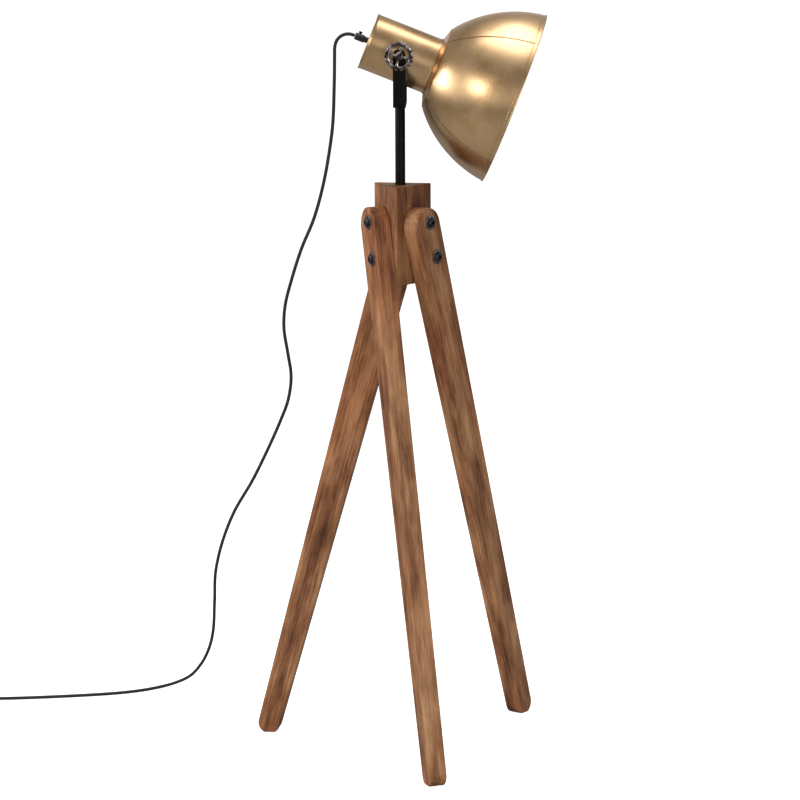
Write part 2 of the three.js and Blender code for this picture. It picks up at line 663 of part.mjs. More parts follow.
function housingGeometry() {
  const lipRadius = HOUSING_RADIUS + HOUSING_LIP;
  const flareStart = HOUSING_BACK + BACK_FLARE_START;
  const flareEnd = HOUSING_BACK + BACK_FLARE_END;
  const sheetShift = SHEET / 2;
  const frontLipStart = HOUSING_FRONT - FRONT_LIP_LENGTH;
  const wall = turnedLoop([
    [wallInner, HOUSING_FRONT], [wallInner, flareEnd - sheetShift],
    [lipRadius - SHEET, flareStart - sheetShift], [lipRadius - SHEET, HOUSING_BACK],
    [lipRadius, HOUSING_BACK], [lipRadius, flareStart], [HOUSING_RADIUS, flareEnd],
    [HOUSING_RADIUS, frontLipStart], [lipRadius, frontLipStart], [lipRadius, HOUSING_FRONT],
  ], HOUSING_ROUND);
  const studHole = alongY(
    rod(STUD_RADIUS + FIT_GAP, -2 * HOUSING_RADIUS, 2 * HOUSING_RADIUS, SMALL_ROUND), 1,
  );
  return cut(wall, studHole);
}

/** A sheet disc with a skirt that fits inside the housing; the skirt runs from the disc along z. */
function plate(faceZ, skirtDirection, hole) {
  const outer = wallInner - FIT_GAP;
  const inner = outer - SHEET;
  const back = faceZ + skirtDirection * SHEET;
  const skirtEnd = faceZ + skirtDirection * SKIRT_LENGTH;
  return turnedLoop([
    [hole, faceZ], [outer, faceZ], [outer, skirtEnd], [inner, skirtEnd], [inner, back], [hole, back],
  ], HOUSING_ROUND);
}

/** The dome's outer side, as [radius, z] points on an arc from the bevel to the rim. */
function shadeArc() {
  const start = new THREE.Vector2(SHADE_BEVEL_RADIUS, SHADE_CONE_DEPTH + SHADE_BEVEL_DEPTH);
  const end = new THREE.Vector2(SHADE_RIM_RADIUS, SHADE_DEPTH);
  const chord = end.clone().sub(start);
  const middle = start.clone().addScaledVector(chord, 0.5);
  const toCentre = Math.sqrt(SHADE_ARC_RADIUS ** 2 - (chord.length() / 2) ** 2);
  const inward = new THREE.Vector2(-chord.y, chord.x).normalize();
  const centre = middle.addScaledVector(inward, toCentre);
  const from = Math.atan2(start.y - centre.y, start.x - centre.x);
  const to = Math.atan2(end.y - centre.y, end.x - centre.x);
  const points = [];
  for (let i = 0; i <= SHADE_ARC_STEPS; i += 1) {
    const angle = from + ((to - from) * i) / SHADE_ARC_STEPS;
    points.push([
      centre.x + SHADE_ARC_RADIUS * Math.cos(angle),
      centre.y + SHADE_ARC_RADIUS * Math.sin(angle),
    ]);
  }
  return points;
}

const shadeBack = HOUSING_FRONT + FIT_GAP;
const holderHole = HOLDER_RADIUS + FIT_GAP;

function shadeGeometry() {
  const outside = [
    [holderHole, 0], [HOUSING_RADIUS + HOUSING_LIP, 0], [SHADE_CONE_RADIUS, SHADE_CONE_DEPTH],
    ...shadeArc(),
  ];
  const inside = offsetProfile(outside, SHEET);
  inside[0] = [holderHole, SHEET];
  const rimInner = inside.pop();
  const bead = [
    [SHADE_RIM_RADIUS + SHADE_BEAD, SHADE_DEPTH],
    [SHADE_RIM_RADIUS + SHADE_BEAD, SHADE_DEPTH + SHADE_BEAD_LENGTH],
    [rimInner[0], SHADE_DEPTH + SHADE_BEAD_LENGTH],
  ];
  return turnedLoop([...outside, ...bead, ...inside.reverse()], SHADE_ROUND)
    .translate(0, 0, shadeBack);
}

function addLampHolder(group) {
  const flangeFront = HOUSING_FRONT - FIT_GAP - SHEET - FIT_GAP;
  const flangeBack = flangeFront - HOLDER_FLANGE_THICKNESS;
  const body = turned([
    [0, HOLDER_BACK], [HOLDER_RADIUS - HOLDER_BACK_CHAMFER, HOLDER_BACK],
    [HOLDER_RADIUS, HOLDER_BACK + HOLDER_BACK_CHAMFER], [HOLDER_RADIUS, flangeBack],
    [HOLDER_FLANGE_RADIUS, flangeBack], [HOLDER_FLANGE_RADIUS, flangeFront],
    [HOLDER_RADIUS, flangeFront], [HOLDER_RADIUS, HOLDER_FRONT],
    [HOLDER_CAVITY_RADIUS, HOLDER_FRONT],
    [HOLDER_CAVITY_RADIUS, HOLDER_CAVITY_BACK], [0, HOLDER_CAVITY_BACK],
  ], HOLDER_ROUND);
  addPiece(group, 'lamp_holder_body', body, CERAMIC);

  const shellOuter = HOLDER_CAVITY_RADIUS - FIT_GAP;
  const shellBack = HOLDER_CAVITY_BACK + CONTACT_THICKNESS + 2 * FIT_GAP;
  const threadShell = ring(
    shellOuter - THREAD_SHELL_WALL, shellOuter, shellBack, shellBack + THREAD_SHELL_LENGTH, HOLDER_ROUND,
  );
  addPiece(group, 'thread_shell', threadShell, ZINC);
  const contactBack = HOLDER_CAVITY_BACK + FIT_GAP;
  const contact = rod(CONTACT_RADIUS, contactBack, contactBack + CONTACT_THICKNESS, SMALL_ROUND);
  addPiece(group, 'centre_contact', contact, ZINC);

  const ringBack = shadeBack + SHEET + FIT_GAP;
  const clampRing = ring(holderHole, RING_RADIUS, ringBack, ringBack + RING_THICKNESS, HOLDER_ROUND);
  addPiece(group, 'shade_ring', clampRing, CERAMIC);
}

function addBulb(group) {
  const tip = HOLDER_CAVITY_BACK + CONTACT_THICKNESS + 2 * FIT_GAP;
  const shoulder = tip + BULB_CONTACT_HEIGHT;
  const capFront = tip + BULB_CAP_LENGTH;
  const capInner = BULB_CAP_RADIUS - BULB_CAP_WALL;
  const capFloor = capFront - GLASS_NECK_DEPTH - 1;
  const cap = turned([
    [0, tip], [CONTACT_RADIUS - 1, tip], [CONTACT_RADIUS, shoulder],
    [BULB_CAP_RADIUS - BULB_CAP_CHAMFER, shoulder + 1],
    [BULB_CAP_RADIUS, shoulder + 1 + BULB_CAP_CHAMFER], [BULB_CAP_RADIUS, capFront],
    [capInner, capFront], [capInner, capFloor], [0, capFloor],
  ], BULB_ROUND);
  addPiece(group, 'bulb_cap', cap, ZINC);

  const globeCentre = BULB_TIP - BULB_RADIUS;
  const outside = [
    [GLASS_NECK_RADIUS, capFront - GLASS_NECK_DEPTH], [GLASS_NECK_RADIUS, capFront + 1],
    [GLASS_NECK_RADIUS + GLASS_FLARE, capFront + GLASS_FLARE_DEPTH],
  ];
  const globeStart = rad(GLOBE_START_DEG);
  for (let i = 0; i <= GLOBE_STEPS; i += 1) {
    const angle = globeStart + ((Math.PI / 2 - globeStart) * i) / GLOBE_STEPS;
    outside.push([BULB_RADIUS * Math.cos(angle), globeCentre + BULB_RADIUS * Math.sin(angle)]);
  }
  outside[outside.length - 1][0] = 0;
  const inside = offsetProfile(outside, GLASS_WALL);
  inside[0][1] = outside[0][1];
  inside[inside.length - 1] = [0, BULB_TIP - GLASS_WALL];
  const glass = turned([...outside.reverse(), ...inside], BULB_ROUND);
  addPiece(group, 'bulb_glass', glass, GLASS);
}

function addCableGland(group) {
  const capFace = HOUSING_BACK + REAR_CAP_INSET;
  const bodyInner = GLAND_END + GLAND_BODY_LENGTH;
  addPiece(group, 'rear_cap', plate(capFace, 1, GLAND_NECK_RADIUS + FIT_GAP), BRASS);

  const cordHole = CORD_DIAMETER / 2 + FIT_GAP;
  const boreEnd = GLAND_END + GLAND_BORE_DEPTH;
  const body = turned([
    [0, boreEnd], [cordHole, boreEnd], [cordHole, GLAND_END],
    [GLAND_BODY_RADIUS - GLAND_CHAMFER, GLAND_END],
    [GLAND_BODY_RADIUS, GLAND_END + GLAND_CHAMFER], [GLAND_BODY_RADIUS, bodyInner],
    [GLAND_NECK_RADIUS, bodyInner], [GLAND_NECK_RADIUS, GLAND_INNER_END], [0, GLAND_INNER_END],
  ], BOLT_ROUND);
  const screwZ = GLAND_END + SET_SCREW_FROM_END;
  const drill = rod(SET_SCREW_RADIUS + FIT_GAP, cordHole - 1, GLAND_BODY_RADIUS + 1, SMALL_ROUND);
  const screwHole = alongX(drill).rotateZ(Math.PI).translate(0, 0, screwZ);
  addPiece(group, 'cable_gland', cut(body, screwHole), BLACK_PLASTIC);

  const headBase = GLAND_BODY_RADIUS + SET_SCREW_RISE;
  const headTop = headBase + SET_SCREW_HEAD_HEIGHT;
  const setScrew = turned([
    [0, cordHole + FIT_GAP], [SET_SCREW_RADIUS, cordHole + FIT_GAP], [SET_SCREW_RADIUS, headBase],
    [SET_SCREW_HEAD_RADIUS, headBase], [SET_SCREW_HEAD_RADIUS, headTop - SET_SCREW_CHAMFER],
    [SET_SCREW_HEAD_RADIUS - SET_SCREW_CHAMFER, headTop], [0, headTop],
  ], SMALL_ROUND);
  const screwUp = alongX(setScrew).rotateZ(Math.PI).translate(0, 0, screwZ);
  addPiece(group, 'gland_set_screw', screwUp, BLACK_STEEL);

  const nutBack = capFace + SHEET + FIT_GAP;
  const glandNut = nut(GLAND_NUT_AF, GLAND_NECK_RADIUS + FIT_GAP, nutBack, nutBack + GLAND_NUT_HEIGHT);
  addPiece(group, 'gland_nut', glandNut, ZINC);
}

/** The two insulated leads from the gland to the lamp holder's terminals. */
function addLeads(group) {
  const start = GLAND_INNER_END + FIT_GAP;
  const end = HOLDER_BACK - FIT_GAP;
  const middle = (start + end) / 2;
  const sides = [['lead_live', 1, LIVE_LEAD], ['lead_neutral', -1, NEUTRAL_LEAD]];
  sides.forEach(([name, side, material]) => {
    const route = smoothCurve([
      [0, side * LEAD_SPREAD, start], [0, side * LEAD_SPREAD, start + 6],
      [side * 6, side * 9, middle - 10], [side * 7, side * 12, middle + 12],
      [0, side * 9, end - 6], [0, side * 9, end],
    ]);
    addPiece(group, name, roundBar(route, LEAD_RADIUS, CORD_SIDES, 16), material);
  });
}

/** The clamp stack on one side of the head, from the housing wall outwards along Y. */
function addPivot(sideName, side) {
  const studInner = wallInner - STUD_INNER_LENGTH;
  const studOuter = bossInner + WHEEL_BORE_DEPTH - FIT_GAP * 2;
  const nutOuter = Math.sqrt(wallInner ** 2 - (PIVOT_NUT_AF / Math.sqrt(3)) ** 2) - FIT_GAP;
  const nutInner = nutOuter - PIVOT_NUT_HEIGHT;
  const spacerInner = HOUSING_RADIUS + FIT_GAP;
  const spacerOuter = spacerInner + SPACER_THICKNESS;
  const hole = STUD_RADIUS + FIT_GAP;
  const pieces = [
    [`pivot_stud_${sideName}`, rod(STUD_RADIUS, studInner, studOuter, SMALL_ROUND), ZINC],
    [`pivot_nut_${sideName}`, nut(PIVOT_NUT_AF, hole, nutInner, nutOuter), ZINC],
    [`pivot_spacer_${sideName}`, ring(hole, SPACER_RADIUS, spacerInner, spacerOuter, BOLT_ROUND),
      BLACK_PLASTIC],
  ];
  pieces.forEach(([name, geometry, material]) => {
    addPiece(head, name, alongY(geometry, side), material);
  });
  const wheel = alongY(wheelGeometry().translate(0, 0, bossInner), side);
  const wheelMesh = addPiece(lamp, `handwheel_${sideName}`, wheel, GUNMETAL);
  wheelMesh.position.z = PIVOT_Z;
}

addPiece(head, 'housing', housingGeometry(), BRASS);
addPiece(head, 'front_plate', plate(HOUSING_FRONT - FIT_GAP, -1, holderHole), BRASS);
addPiece(head, 'shade', shadeGeometry(), BRASS);
addLampHolder(head);
addBulb(head);
addCableGland(head);
addLeads(head);
addPivot('near', -1);
addPivot('far', 1);

// ---------------------------------------------------------------- mains cord
const cordRadius = CORD_DIAMETER / 2;
const headAxis = new THREE.Vector3(Math.cos(rad(HEAD_TILT_DEG)), 0, -Math.sin(rad(HEAD_TILT_DEG)));

function addCord(group) {
  const exit = headAxis.clone().multiplyScalar(GLAND_END - FIT_GAP);
  exit.z += PIVOT_Z;
  const upper = smoothCurve([exit.toArray(), ...CORD_UPPER_POINTS]);
  const upperCord = roundBar(upper, cordRadius, CORD_SIDES, CORD_UPPER_STEPS);
  addPiece(group, 'cord_upper', upperCord, CORD_COVER);

  const lowerPoints = CORD_LOWER_POINTS.map((p) => [...p]);
  const gapAlong = new THREE.Vector3(...lowerPoints[1]).sub(new THREE.Vector3(...lowerPoints[0]));
  const first = new THREE.Vector3(...lowerPoints[0]).addScaledVector(gapAlong.normalize(), FIT_GAP);
  lowerPoints[0] = first.toArray();
  const lowerCord = roundBar(smoothCurve(lowerPoints), cordRadius, CORD_SIDES, CORD_LOWER_STEPS);
  addPiece(group, 'cord_lower', lowerCord, CORD_COVER);

  const across = COIL_TURNS_ACROSS * CORD_DIAMETER;
  const high = COIL_LAYERS * CORD_DIAMETER;
  const coilInner = COIL_MEAN_RADIUS - across / 2;
  const coilOuter = COIL_MEAN_RADIUS + across / 2;
  const ease = cordRadius * COIL_EASE;
  const coil = turnedLoop([
    [coilInner + ease, 0], [coilOuter - ease, 0], [coilOuter, ease], [coilOuter, high - ease],
    [coilOuter - ease, high], [coilInner + ease, high], [coilInner, high - ease], [coilInner, ease],
  ], TUBE_ROUND);
  addPiece(group, 'cord_coil', coil.translate(...COIL_CENTRE, 0), CORD_COVER);
  return coilOuter;
}

/** A flat two-pin mains plug along +Y, its cord entering at y = 0. */
function addPlug(group, x, y, z) {
  const half = PLUG_BODY_WIDTH / 2;
  const bootEnd = PLUG_BOOT_LENGTH;
  const front = bootEnd + PLUG_BODY_LENGTH;
  const outline = new THREE.Shape();
  outline.moveTo(-PLUG_BOOT_RADIUS, bootEnd);
  outline.lineTo(PLUG_BOOT_RADIUS, bootEnd);
  outline.lineTo(half - PLUG_SHOULDER, bootEnd + PLUG_SHOULDER_START);
  outline.lineTo(half, bootEnd + PLUG_SHOULDER_END);
  outline.lineTo(half, front);
  outline.lineTo(-half, front);
  outline.lineTo(-half, bootEnd + PLUG_SHOULDER_END);
  outline.lineTo(PLUG_SHOULDER - half, bootEnd + PLUG_SHOULDER_START);
  const body = new THREE.ExtrudeGeometry(outline, {
    depth: PLUG_BODY_THICKNESS - 2 * PLUG_EDGE,
    bevelThickness: PLUG_EDGE,
    bevelSize: PLUG_EDGE,
    bevelOffset: -PLUG_EDGE,
    bevelSegments: 1,
  }).translate(0, 0, PLUG_EDGE - PLUG_BODY_THICKNESS / 2);
  const bootInBody = bootEnd + PLUG_SHOULDER_START;
  const boot = alongY(turned([
    [0, 0], [cordRadius + PLUG_BOOT_WALL, 0], [PLUG_BOOT_RADIUS, bootEnd],
    [PLUG_BOOT_RADIUS, bootInBody], [0, bootInBody],
  ], BOLT_ROUND), 1);
  addPiece(group, 'plug_body', join(body, boot).translate(x, y, z), BLACK_PLASTIC);
  [['a', -1], ['b', 1]].forEach(([pinName, side]) => {
    const pinStart = front + FIT_GAP;
    const pin = rod(PLUG_PIN_RADIUS, pinStart, pinStart + PLUG_PIN_LENGTH, SMALL_ROUND);
    const pinX = x + (side * PLUG_PIN_SPACING) / 2;
    addPiece(group, `plug_pin_${pinName}`, alongY(pin, 1).translate(pinX, y, z), ZINC);
  });
}

function addCordTail(group, coilOuter) {
  const plugZ = PLUG_BODY_THICKNESS / 2;
  const tailX = COIL_CENTRE[0] - coilOuter + cordRadius;
  const clearOfCoil = Math.sqrt(coilOuter ** 2 - (coilOuter - CORD_DIAMETER) ** 2);
  const startY = COIL_CENTRE[1] + clearOfCoil + TAIL_GAP;
  const tail = new THREE.LineCurve3(
    new THREE.Vector3(tailX, startY, plugZ),
    new THREE.Vector3(tailX, startY + TAIL_LENGTH, plugZ),
  );
  addPiece(group, 'cord_tail', roundBar(tail, cordRadius, CORD_SIDES, 1), CORD_COVER);
  addPlug(group, tailX, startY + TAIL_LENGTH + FIT_GAP, plugZ);
}

const cord = new THREE.Group();
lamp.add(cord);
addCordTail(cord, addCord(cord));

// ---------------------------------------------------------------- origin
/** Sets the origin below the middle of the lamp, without its cord, on the floor. */
function centreOnFloor() {
  lamp.updateMatrixWorld(true);
  const box = new THREE.Box3();
  lamp.traverse((object) => {
    let owner = object;
    while (owner && owner !== cord) owner = owner.parent;
    if (object.isMesh && !owner) box.expandByObject(object, true);
  });
  lamp.position.set(-(box.min.x + box.max.x) / 2, -(box.min.y + box.max.y) / 2, -box.min.z);
}
centreOnFloor();

export default lamp;
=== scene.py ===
"""Tripod floor lamp: the finished looks, built on the lamp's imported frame.

Three wooden legs are bolted to a triangular hub. A black steel mast rises from it and carries a
yoke, where a spun brass head tilts between two clamp handwheels. The mains cord leaves the head's
back, falls behind the lamp and ends in a coil with its plug. Sizes are in millimetres in each
piece's own axes, and a placement turns them into the frame's metres.
"""

from __future__ import annotations

import json
import logging
import math
from dataclasses import dataclass, field
from enum import Enum
from typing import Callable, Iterable, Sequence

import bmesh
import bpy
from mathutils import Matrix, Vector

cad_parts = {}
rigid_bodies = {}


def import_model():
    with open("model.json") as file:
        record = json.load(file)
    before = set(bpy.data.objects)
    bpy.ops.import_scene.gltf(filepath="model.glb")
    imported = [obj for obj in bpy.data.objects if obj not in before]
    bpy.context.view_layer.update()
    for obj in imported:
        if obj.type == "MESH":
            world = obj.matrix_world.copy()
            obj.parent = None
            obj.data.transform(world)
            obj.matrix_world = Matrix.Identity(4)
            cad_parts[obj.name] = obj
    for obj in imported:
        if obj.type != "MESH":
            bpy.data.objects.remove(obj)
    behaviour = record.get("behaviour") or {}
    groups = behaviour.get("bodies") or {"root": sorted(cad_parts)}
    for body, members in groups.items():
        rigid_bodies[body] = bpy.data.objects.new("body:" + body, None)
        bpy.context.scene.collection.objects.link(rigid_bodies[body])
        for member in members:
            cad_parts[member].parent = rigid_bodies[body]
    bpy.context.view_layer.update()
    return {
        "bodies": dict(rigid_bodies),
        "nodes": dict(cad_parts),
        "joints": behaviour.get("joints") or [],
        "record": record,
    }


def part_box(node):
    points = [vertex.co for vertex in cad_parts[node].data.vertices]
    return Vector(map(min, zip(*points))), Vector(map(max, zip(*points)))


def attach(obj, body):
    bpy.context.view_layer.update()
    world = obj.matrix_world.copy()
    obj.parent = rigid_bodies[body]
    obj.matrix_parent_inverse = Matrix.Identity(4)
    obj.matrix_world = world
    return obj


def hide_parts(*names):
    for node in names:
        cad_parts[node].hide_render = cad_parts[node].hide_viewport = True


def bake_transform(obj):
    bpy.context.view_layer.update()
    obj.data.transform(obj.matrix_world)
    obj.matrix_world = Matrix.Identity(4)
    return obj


log = logging.getLogger("floor_lamp")

Pair = tuple[float, float]
Triple = tuple[float, float, float]
Tint = tuple[float, float, float, float]
Feed = float | tuple | bpy.types.NodeSocket
Relief = Callable[[float, float, float], float]

# One millimetre in metres, and the clearance between neighbouring pieces in millimetres.
MM = 0.001
GAP = 0.3
HEAD_TILT = math.radians(21.5)
# Facets round a small hole and round a small turned piece.
COARSE = 24
FINE = 48
# How far a rounded corner's middle stands in from its tip, as a share of its radius.
CORNER_SHARE = 0.3
SHARPEST_MITRE = 0.4
# The range that a noise's values usually keep to.
NOISE_RANGE = (0.3, 0.7)
NODES_IN_A_ROW = 8
NODE_SPACING = (-200, -260)


class Body(Enum):
    """The lamp's moving bodies, which pieces ride on."""

    STAND = "stand"
    HEAD = "head"
    NEAR_WHEEL = "handwheel_near_body"
    FAR_WHEEL = "handwheel_far_body"


class Slot(Enum):
    """The material slots of the lamp's record."""

    WOOD = "wood"
    BRASS = "antique_brass"
    BLACK_STEEL = "black_steel"
    GUNMETAL = "gunmetal"
    DARK_STEEL = "dark_steel"
    ZINC = "zinc"
    BLACK_PLASTIC = "black_plastic"
    CERAMIC = "lamp_holder"
    CONTACT = "contact_metal"
    GLASS = "bulb_glass"
    CORD = "cord_cover"
    BROWN_LEAD = "lead_brown"
    BLUE_LEAD = "lead_blue"
    PIN = "plug_pin"


class Side(Enum):
    """The two sides of the head: the near one faces -Y, the far one +Y."""

    NEAR = -1
    FAR = 1


class Merge(Enum):
    """How one solid changes another."""

    CUT = "DIFFERENCE"
    ADD = "UNION"


# ---- drawing helpers


def colour(red: int, green: int, blue: int) -> Tint:
    """Turns a paint-chart colour into a shader colour.

    Args:
        red: Red, 0 to 255.
        green: Green, 0 to 255.
        blue: Blue, 0 to 255.

    Returns:
        The linear colour with full alpha.
    """

    def linear(value: int) -> float:
        """Linear share of one channel."""
        share = value / 255
        return share / 12.92 if share <= 0.04045 else ((share + 0.055) / 1.055) ** 2.4

    return linear(red), linear(green), linear(blue), 1.0


def placement(origin: Vector, across: Vector, up: Vector, along: Vector) -> Matrix:
    """Makes the step from a piece's own millimetres to the frame's metres.

    Args:
        origin: Where the piece's origin stands, in metres.
        across: The direction of the piece's X axis.
        up: The direction of the piece's Y axis.
        along: The direction of the piece's Z axis.

    Returns:
        The placing matrix.
    """
    turn = Matrix((across, up, along)).transposed().to_4x4()
    return Matrix.Translation(origin) @ turn @ Matrix.Scale(MM, 4)


def upright(origin: Vector) -> Matrix:
    """The place of a piece whose own axes are the frame's."""
    return placement(origin, Vector((1, 0, 0)), Vector((0, 1, 0)), Vector((0, 0, 1)))


def mast_axis() -> Vector:
    """The point on the floor below the mast, in metres.

    Returns:
        The point.
    """
    low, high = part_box("mast_tube")
    middle = (low + high) / 2
    return Vector((middle.x, middle.y, 0.0))


def pivot_point(frame: dict) -> Vector:
    """The point on the head's tilt axis in the middle of the yoke, in metres.

    Args:
        frame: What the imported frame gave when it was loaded.

    Returns:
        The tilt pivot.
    """
    joint = next(j for j in frame["joints"] if j["name"] == "head_tilt")
    below = mast_axis()
    return Vector((below.x, below.y, joint["pos_m"][2]))


def inset(outline: Sequence[Pair], distance: float) -> list[Pair]:
    """Moves a closed outline inwards.

    Args:
        outline: Corners in counter-clockwise order.
        distance: How far every side moves in.

    Returns:
        The smaller outline, with as many corners.
    """
    count = len(outline)
    moved: list[Pair] = []
    for index, (x, y) in enumerate(outline):
        before, after = Vector(outline[index - 1]), Vector(outline[(index + 1) % count])
        here = Vector((x, y))
        first, second = (here - before).normalized(), (after - here).normalized()
        normal = Vector((-(first + second).y, (first + second).x)).normalized()
        lean = max(SHARPEST_MITRE, normal.dot(Vector((-first.y, first.x))))
        place = here + normal * distance / lean
        moved.append((place.x, place.y))
    return moved


def arc(centre: Pair, radius: float, start: float, end: float, steps: int) -> list[Pair]:
    """Points along an arc.

    Args:
        centre: The arc's centre.
        radius: Its radius.
        start: First angle in degrees.
        end: Last angle in degrees.
        steps: How many parts the arc has.

    Returns:
        The arc's points, both ends among them.
    """
    angles = [math.radians(start + (end - start) * i / steps) for i in range(steps + 1)]
    return [(centre[0] + radius * math.cos(a), centre[1] + radius * math.sin(a)) for a in angles]


def squared_circle(angle: float, power: float) -> Pair:
    """A point of a circle that is pressed towards a square.

    Args:
        angle: The point's angle.
        power: 1 for a circle, less for squarer.

    Returns:
        The point, within 1 of the centre on both axes.
    """
    across, up = math.cos(angle), math.sin(angle)
    return (math.copysign(abs(across) ** power, across), math.copysign(abs(up) ** power, up))


def sheet_side(outside: Sequence[Pair], thickness: float) -> list[Pair]:
    """The other face of a sheet whose first face is an open outline.

    Args:
        outside: The outline of the outer face.
        thickness: The sheet's thickness, to the left of the outline's direction.

    Returns:
        The inner face's outline, in the same order.
    """
    inner: list[Pair] = []
    for index, (x, y) in enumerate(outside):
        before = Vector(outside[max(index - 1, 0)])
        after = Vector(outside[min(index + 1, len(outside) - 1)])
        direction = (after - before).normalized()
        inner.append((x - direction.y * thickness, y + direction.x * thickness))
    return inner


class Route:
    """A smooth line through points, as a bent cord takes."""

    closest = 1e-9

    def __init__(self, points: Sequence[Vector]) -> None:
        """Keeps the points that the line passes through."""
        self.points = [Vector(p) for p in points]

    def sampled(self, spacing: float) -> list[Vector]:
        """Walks along the line.

        Args:
            spacing: The most that two neighbouring points may be apart.

        Returns:
            Points on the line, both ends among them.
        """
        knots = [self.points[0] * 2 - self.points[1], *self.points,
                 self.points[-1] * 2 - self.points[-2]]
        walked = [self.points[0].copy()]
        for a, b, c, d in zip(knots, knots[1:], knots[2:], knots[3:]):
            steps = max(1, math.ceil((c - b).length / spacing))
            walked.extend(self._between(a, b, c, d, (i + 1) / steps) for i in range(steps))
        return walked

    def _between(self, a: Vector, b: Vector, c: Vector, d: Vector, share: float) -> Vector:
        """A point of the centripetal curve from b to c.

        Args:
            a: The knot before.
            b: The knot at the start.
            c: The knot at the end.
            d: The knot after.
            share: How far along, from 0 to 1.

        Returns:
            The point.
        """
        times = [0.0]
        for near, far in ((a, b), (b, c), (c, d)):
            times.append(times[-1] + max((far - near).length, self.closest) ** 0.5)
        t0, t1, t2, t3 = times
        t = t1 + (t2 - t1) * share
        ab = a * ((t1 - t) / (t1 - t0)) + b * ((t - t0) / (t1 - t0))
        bc = b * ((t2 - t) / (t2 - t1)) + c * ((t - t1) / (t2 - t1))
        cd = c * ((t3 - t) / (t3 - t2)) + d * ((t - t2) / (t3 - t2))
        first = ab * ((t2 - t) / (t2 - t0)) + bc * ((t - t0) / (t2 - t0))
        second = bc * ((t3 - t) / (t3 - t1)) + cd * ((t - t1) / (t3 - t1))
        return first * ((t2 - t) / (t2 - t1)) + second * ((t - t1) / (t2 - t1))


class Solid:
    """One closed body, drawn in millimetres in its own axes."""

    def __init__(self) -> None:
        """Starts with nothing drawn."""
        self.mesh = bmesh.new()

    def stacked(self, rings: Sequence[Sequence[Vector]], loop: bool = False) -> Solid:
        """Skins over rings that have the same number of points.

        Args:
            rings: The rings, in order.
            loop: Whether the last ring joins the first, instead of both being capped.

        Returns:
            This solid.
        """
        rows = [[self.mesh.verts.new(point) for point in ring] for ring in rings]
        count = len(rows[0])
        pairs = list(zip(rows, rows[1:]))
        if loop:
            pairs.append((rows[-1], rows[0]))
        for low, high in pairs:
            for i in range(count):
                j = (i + 1) % count
                self.mesh.faces.new((low[i], low[j], high[j], high[i]))
        if not loop:
            self.mesh.faces.new(list(reversed(rows[0])))
            self.mesh.faces.new(rows[-1])
        bmesh.ops.recalc_face_normals(self.mesh, faces=self.mesh.faces[:])
        return self

    def turned(self, outline: Sequence[Pair], steps: int = 64, loop: bool = False,
               angles: Sequence[float] | None = None, relief: Relief | None = None) -> Solid:
        """Turns an outline about Z, as on a lathe.

        Args:
            outline: Points as (radius, height).
            steps: Facets round the axis.
            loop: Whether the outline is a closed section round a hole.
            angles: The angles to cut at, where they aren't evenly spaced.
            relief: What is added to the radius, from the radius, the height and the angle.

        Returns:
            This solid.
        """
        around = angles or [2 * math.pi * i / steps for i in range(steps)]
        rings: list[list[Vector]] = []
        for radius, height in outline:
            ring: list[Vector] = []
            for angle in around:
                reach = radius + (relief(radius, height, angle) if relief else 0.0)
                ring.append(Vector((reach * math.cos(angle), reach * math.sin(angle), height)))
            rings.append(ring)
        return self.stacked(rings, loop)

    def slab(self, outline: Sequence[Pair], low: float, high: float, ease: float,
             ease_steps: int = 3) -> Solid:
        """Makes a slab with rounded edges out of an outline.

        Args:
            outline: Corners in counter-clockwise order.
            low: Height of its lower face.
            high: Height of its upper face.
            ease: Radius of the edges.
            ease_steps: Facets across each edge.

        Returns:
            This solid.
        """
        rounds = [math.pi / 2 * i / ease_steps for i in range(ease_steps + 1)]
        levels = [(low + ease * (1 - math.sin(a)), ease * (1 - math.cos(a)))
                  for a in reversed(rounds)]
        levels += [(high - ease * (1 - math.sin(a)), ease * (1 - math.cos(a))) for a in rounds]
        rings = [[Vector((x, y, z)) for x, y in inset(outline, depth)] for z, depth in levels]
        return self.stacked(rings)

    def merged(self, how: Merge, *others: Solid) -> Solid:
        """Cuts other solids out of this one, or adds them to it.

        Args:
            how: Whether the others are cut or added.
            others: The other solids.

        Returns:
            This solid.
        """
        base = self._stand_in("base")
        helpers = [other._stand_in("helper") for other in others]
        for helper in helpers:
            step = base.modifiers.new("merge", "BOOLEAN")
            step.operation = how.value
            step.solver = "EXACT"
            step.object = helper
        graph = bpy.context.evaluated_depsgraph_get()
        result = bpy.data.meshes.new_from_object(base.evaluated_get(graph))
        self.mesh.clear()
        self.mesh.from_mesh(result)
        bpy.data.meshes.remove(result)
        for helper in [base, *helpers]:
            mesh = helper.data
            bpy.data.objects.remove(helper)
            bpy.data.meshes.remove(mesh)
        return self

    def moved(self, matrix: Matrix) -> Solid:
        """Moves everything drawn so far."""
        bmesh.ops.transform(self.mesh, matrix=matrix, verts=self.mesh.verts[:])
        return self

    def _stand_in(self, name: str) -> bpy.types.Object:
        """A short-lived object with this shape.

        Args:
            name: Its name.

        Returns:
            The object.
        """
        mesh = bpy.data.meshes.new(name)
        self.mesh.to_mesh(mesh)
        stand_in = bpy.data.objects.new(name, mesh)
        bpy.context.scene.collection.objects.link(stand_in)
        return stand_in


def rod(radius: float, low: float, high: float, steps: int = 32) -> Solid:
    """A plain rod about Z, for cutting holes."""
    return Solid().turned([(radius, low), (radius, high)], steps)


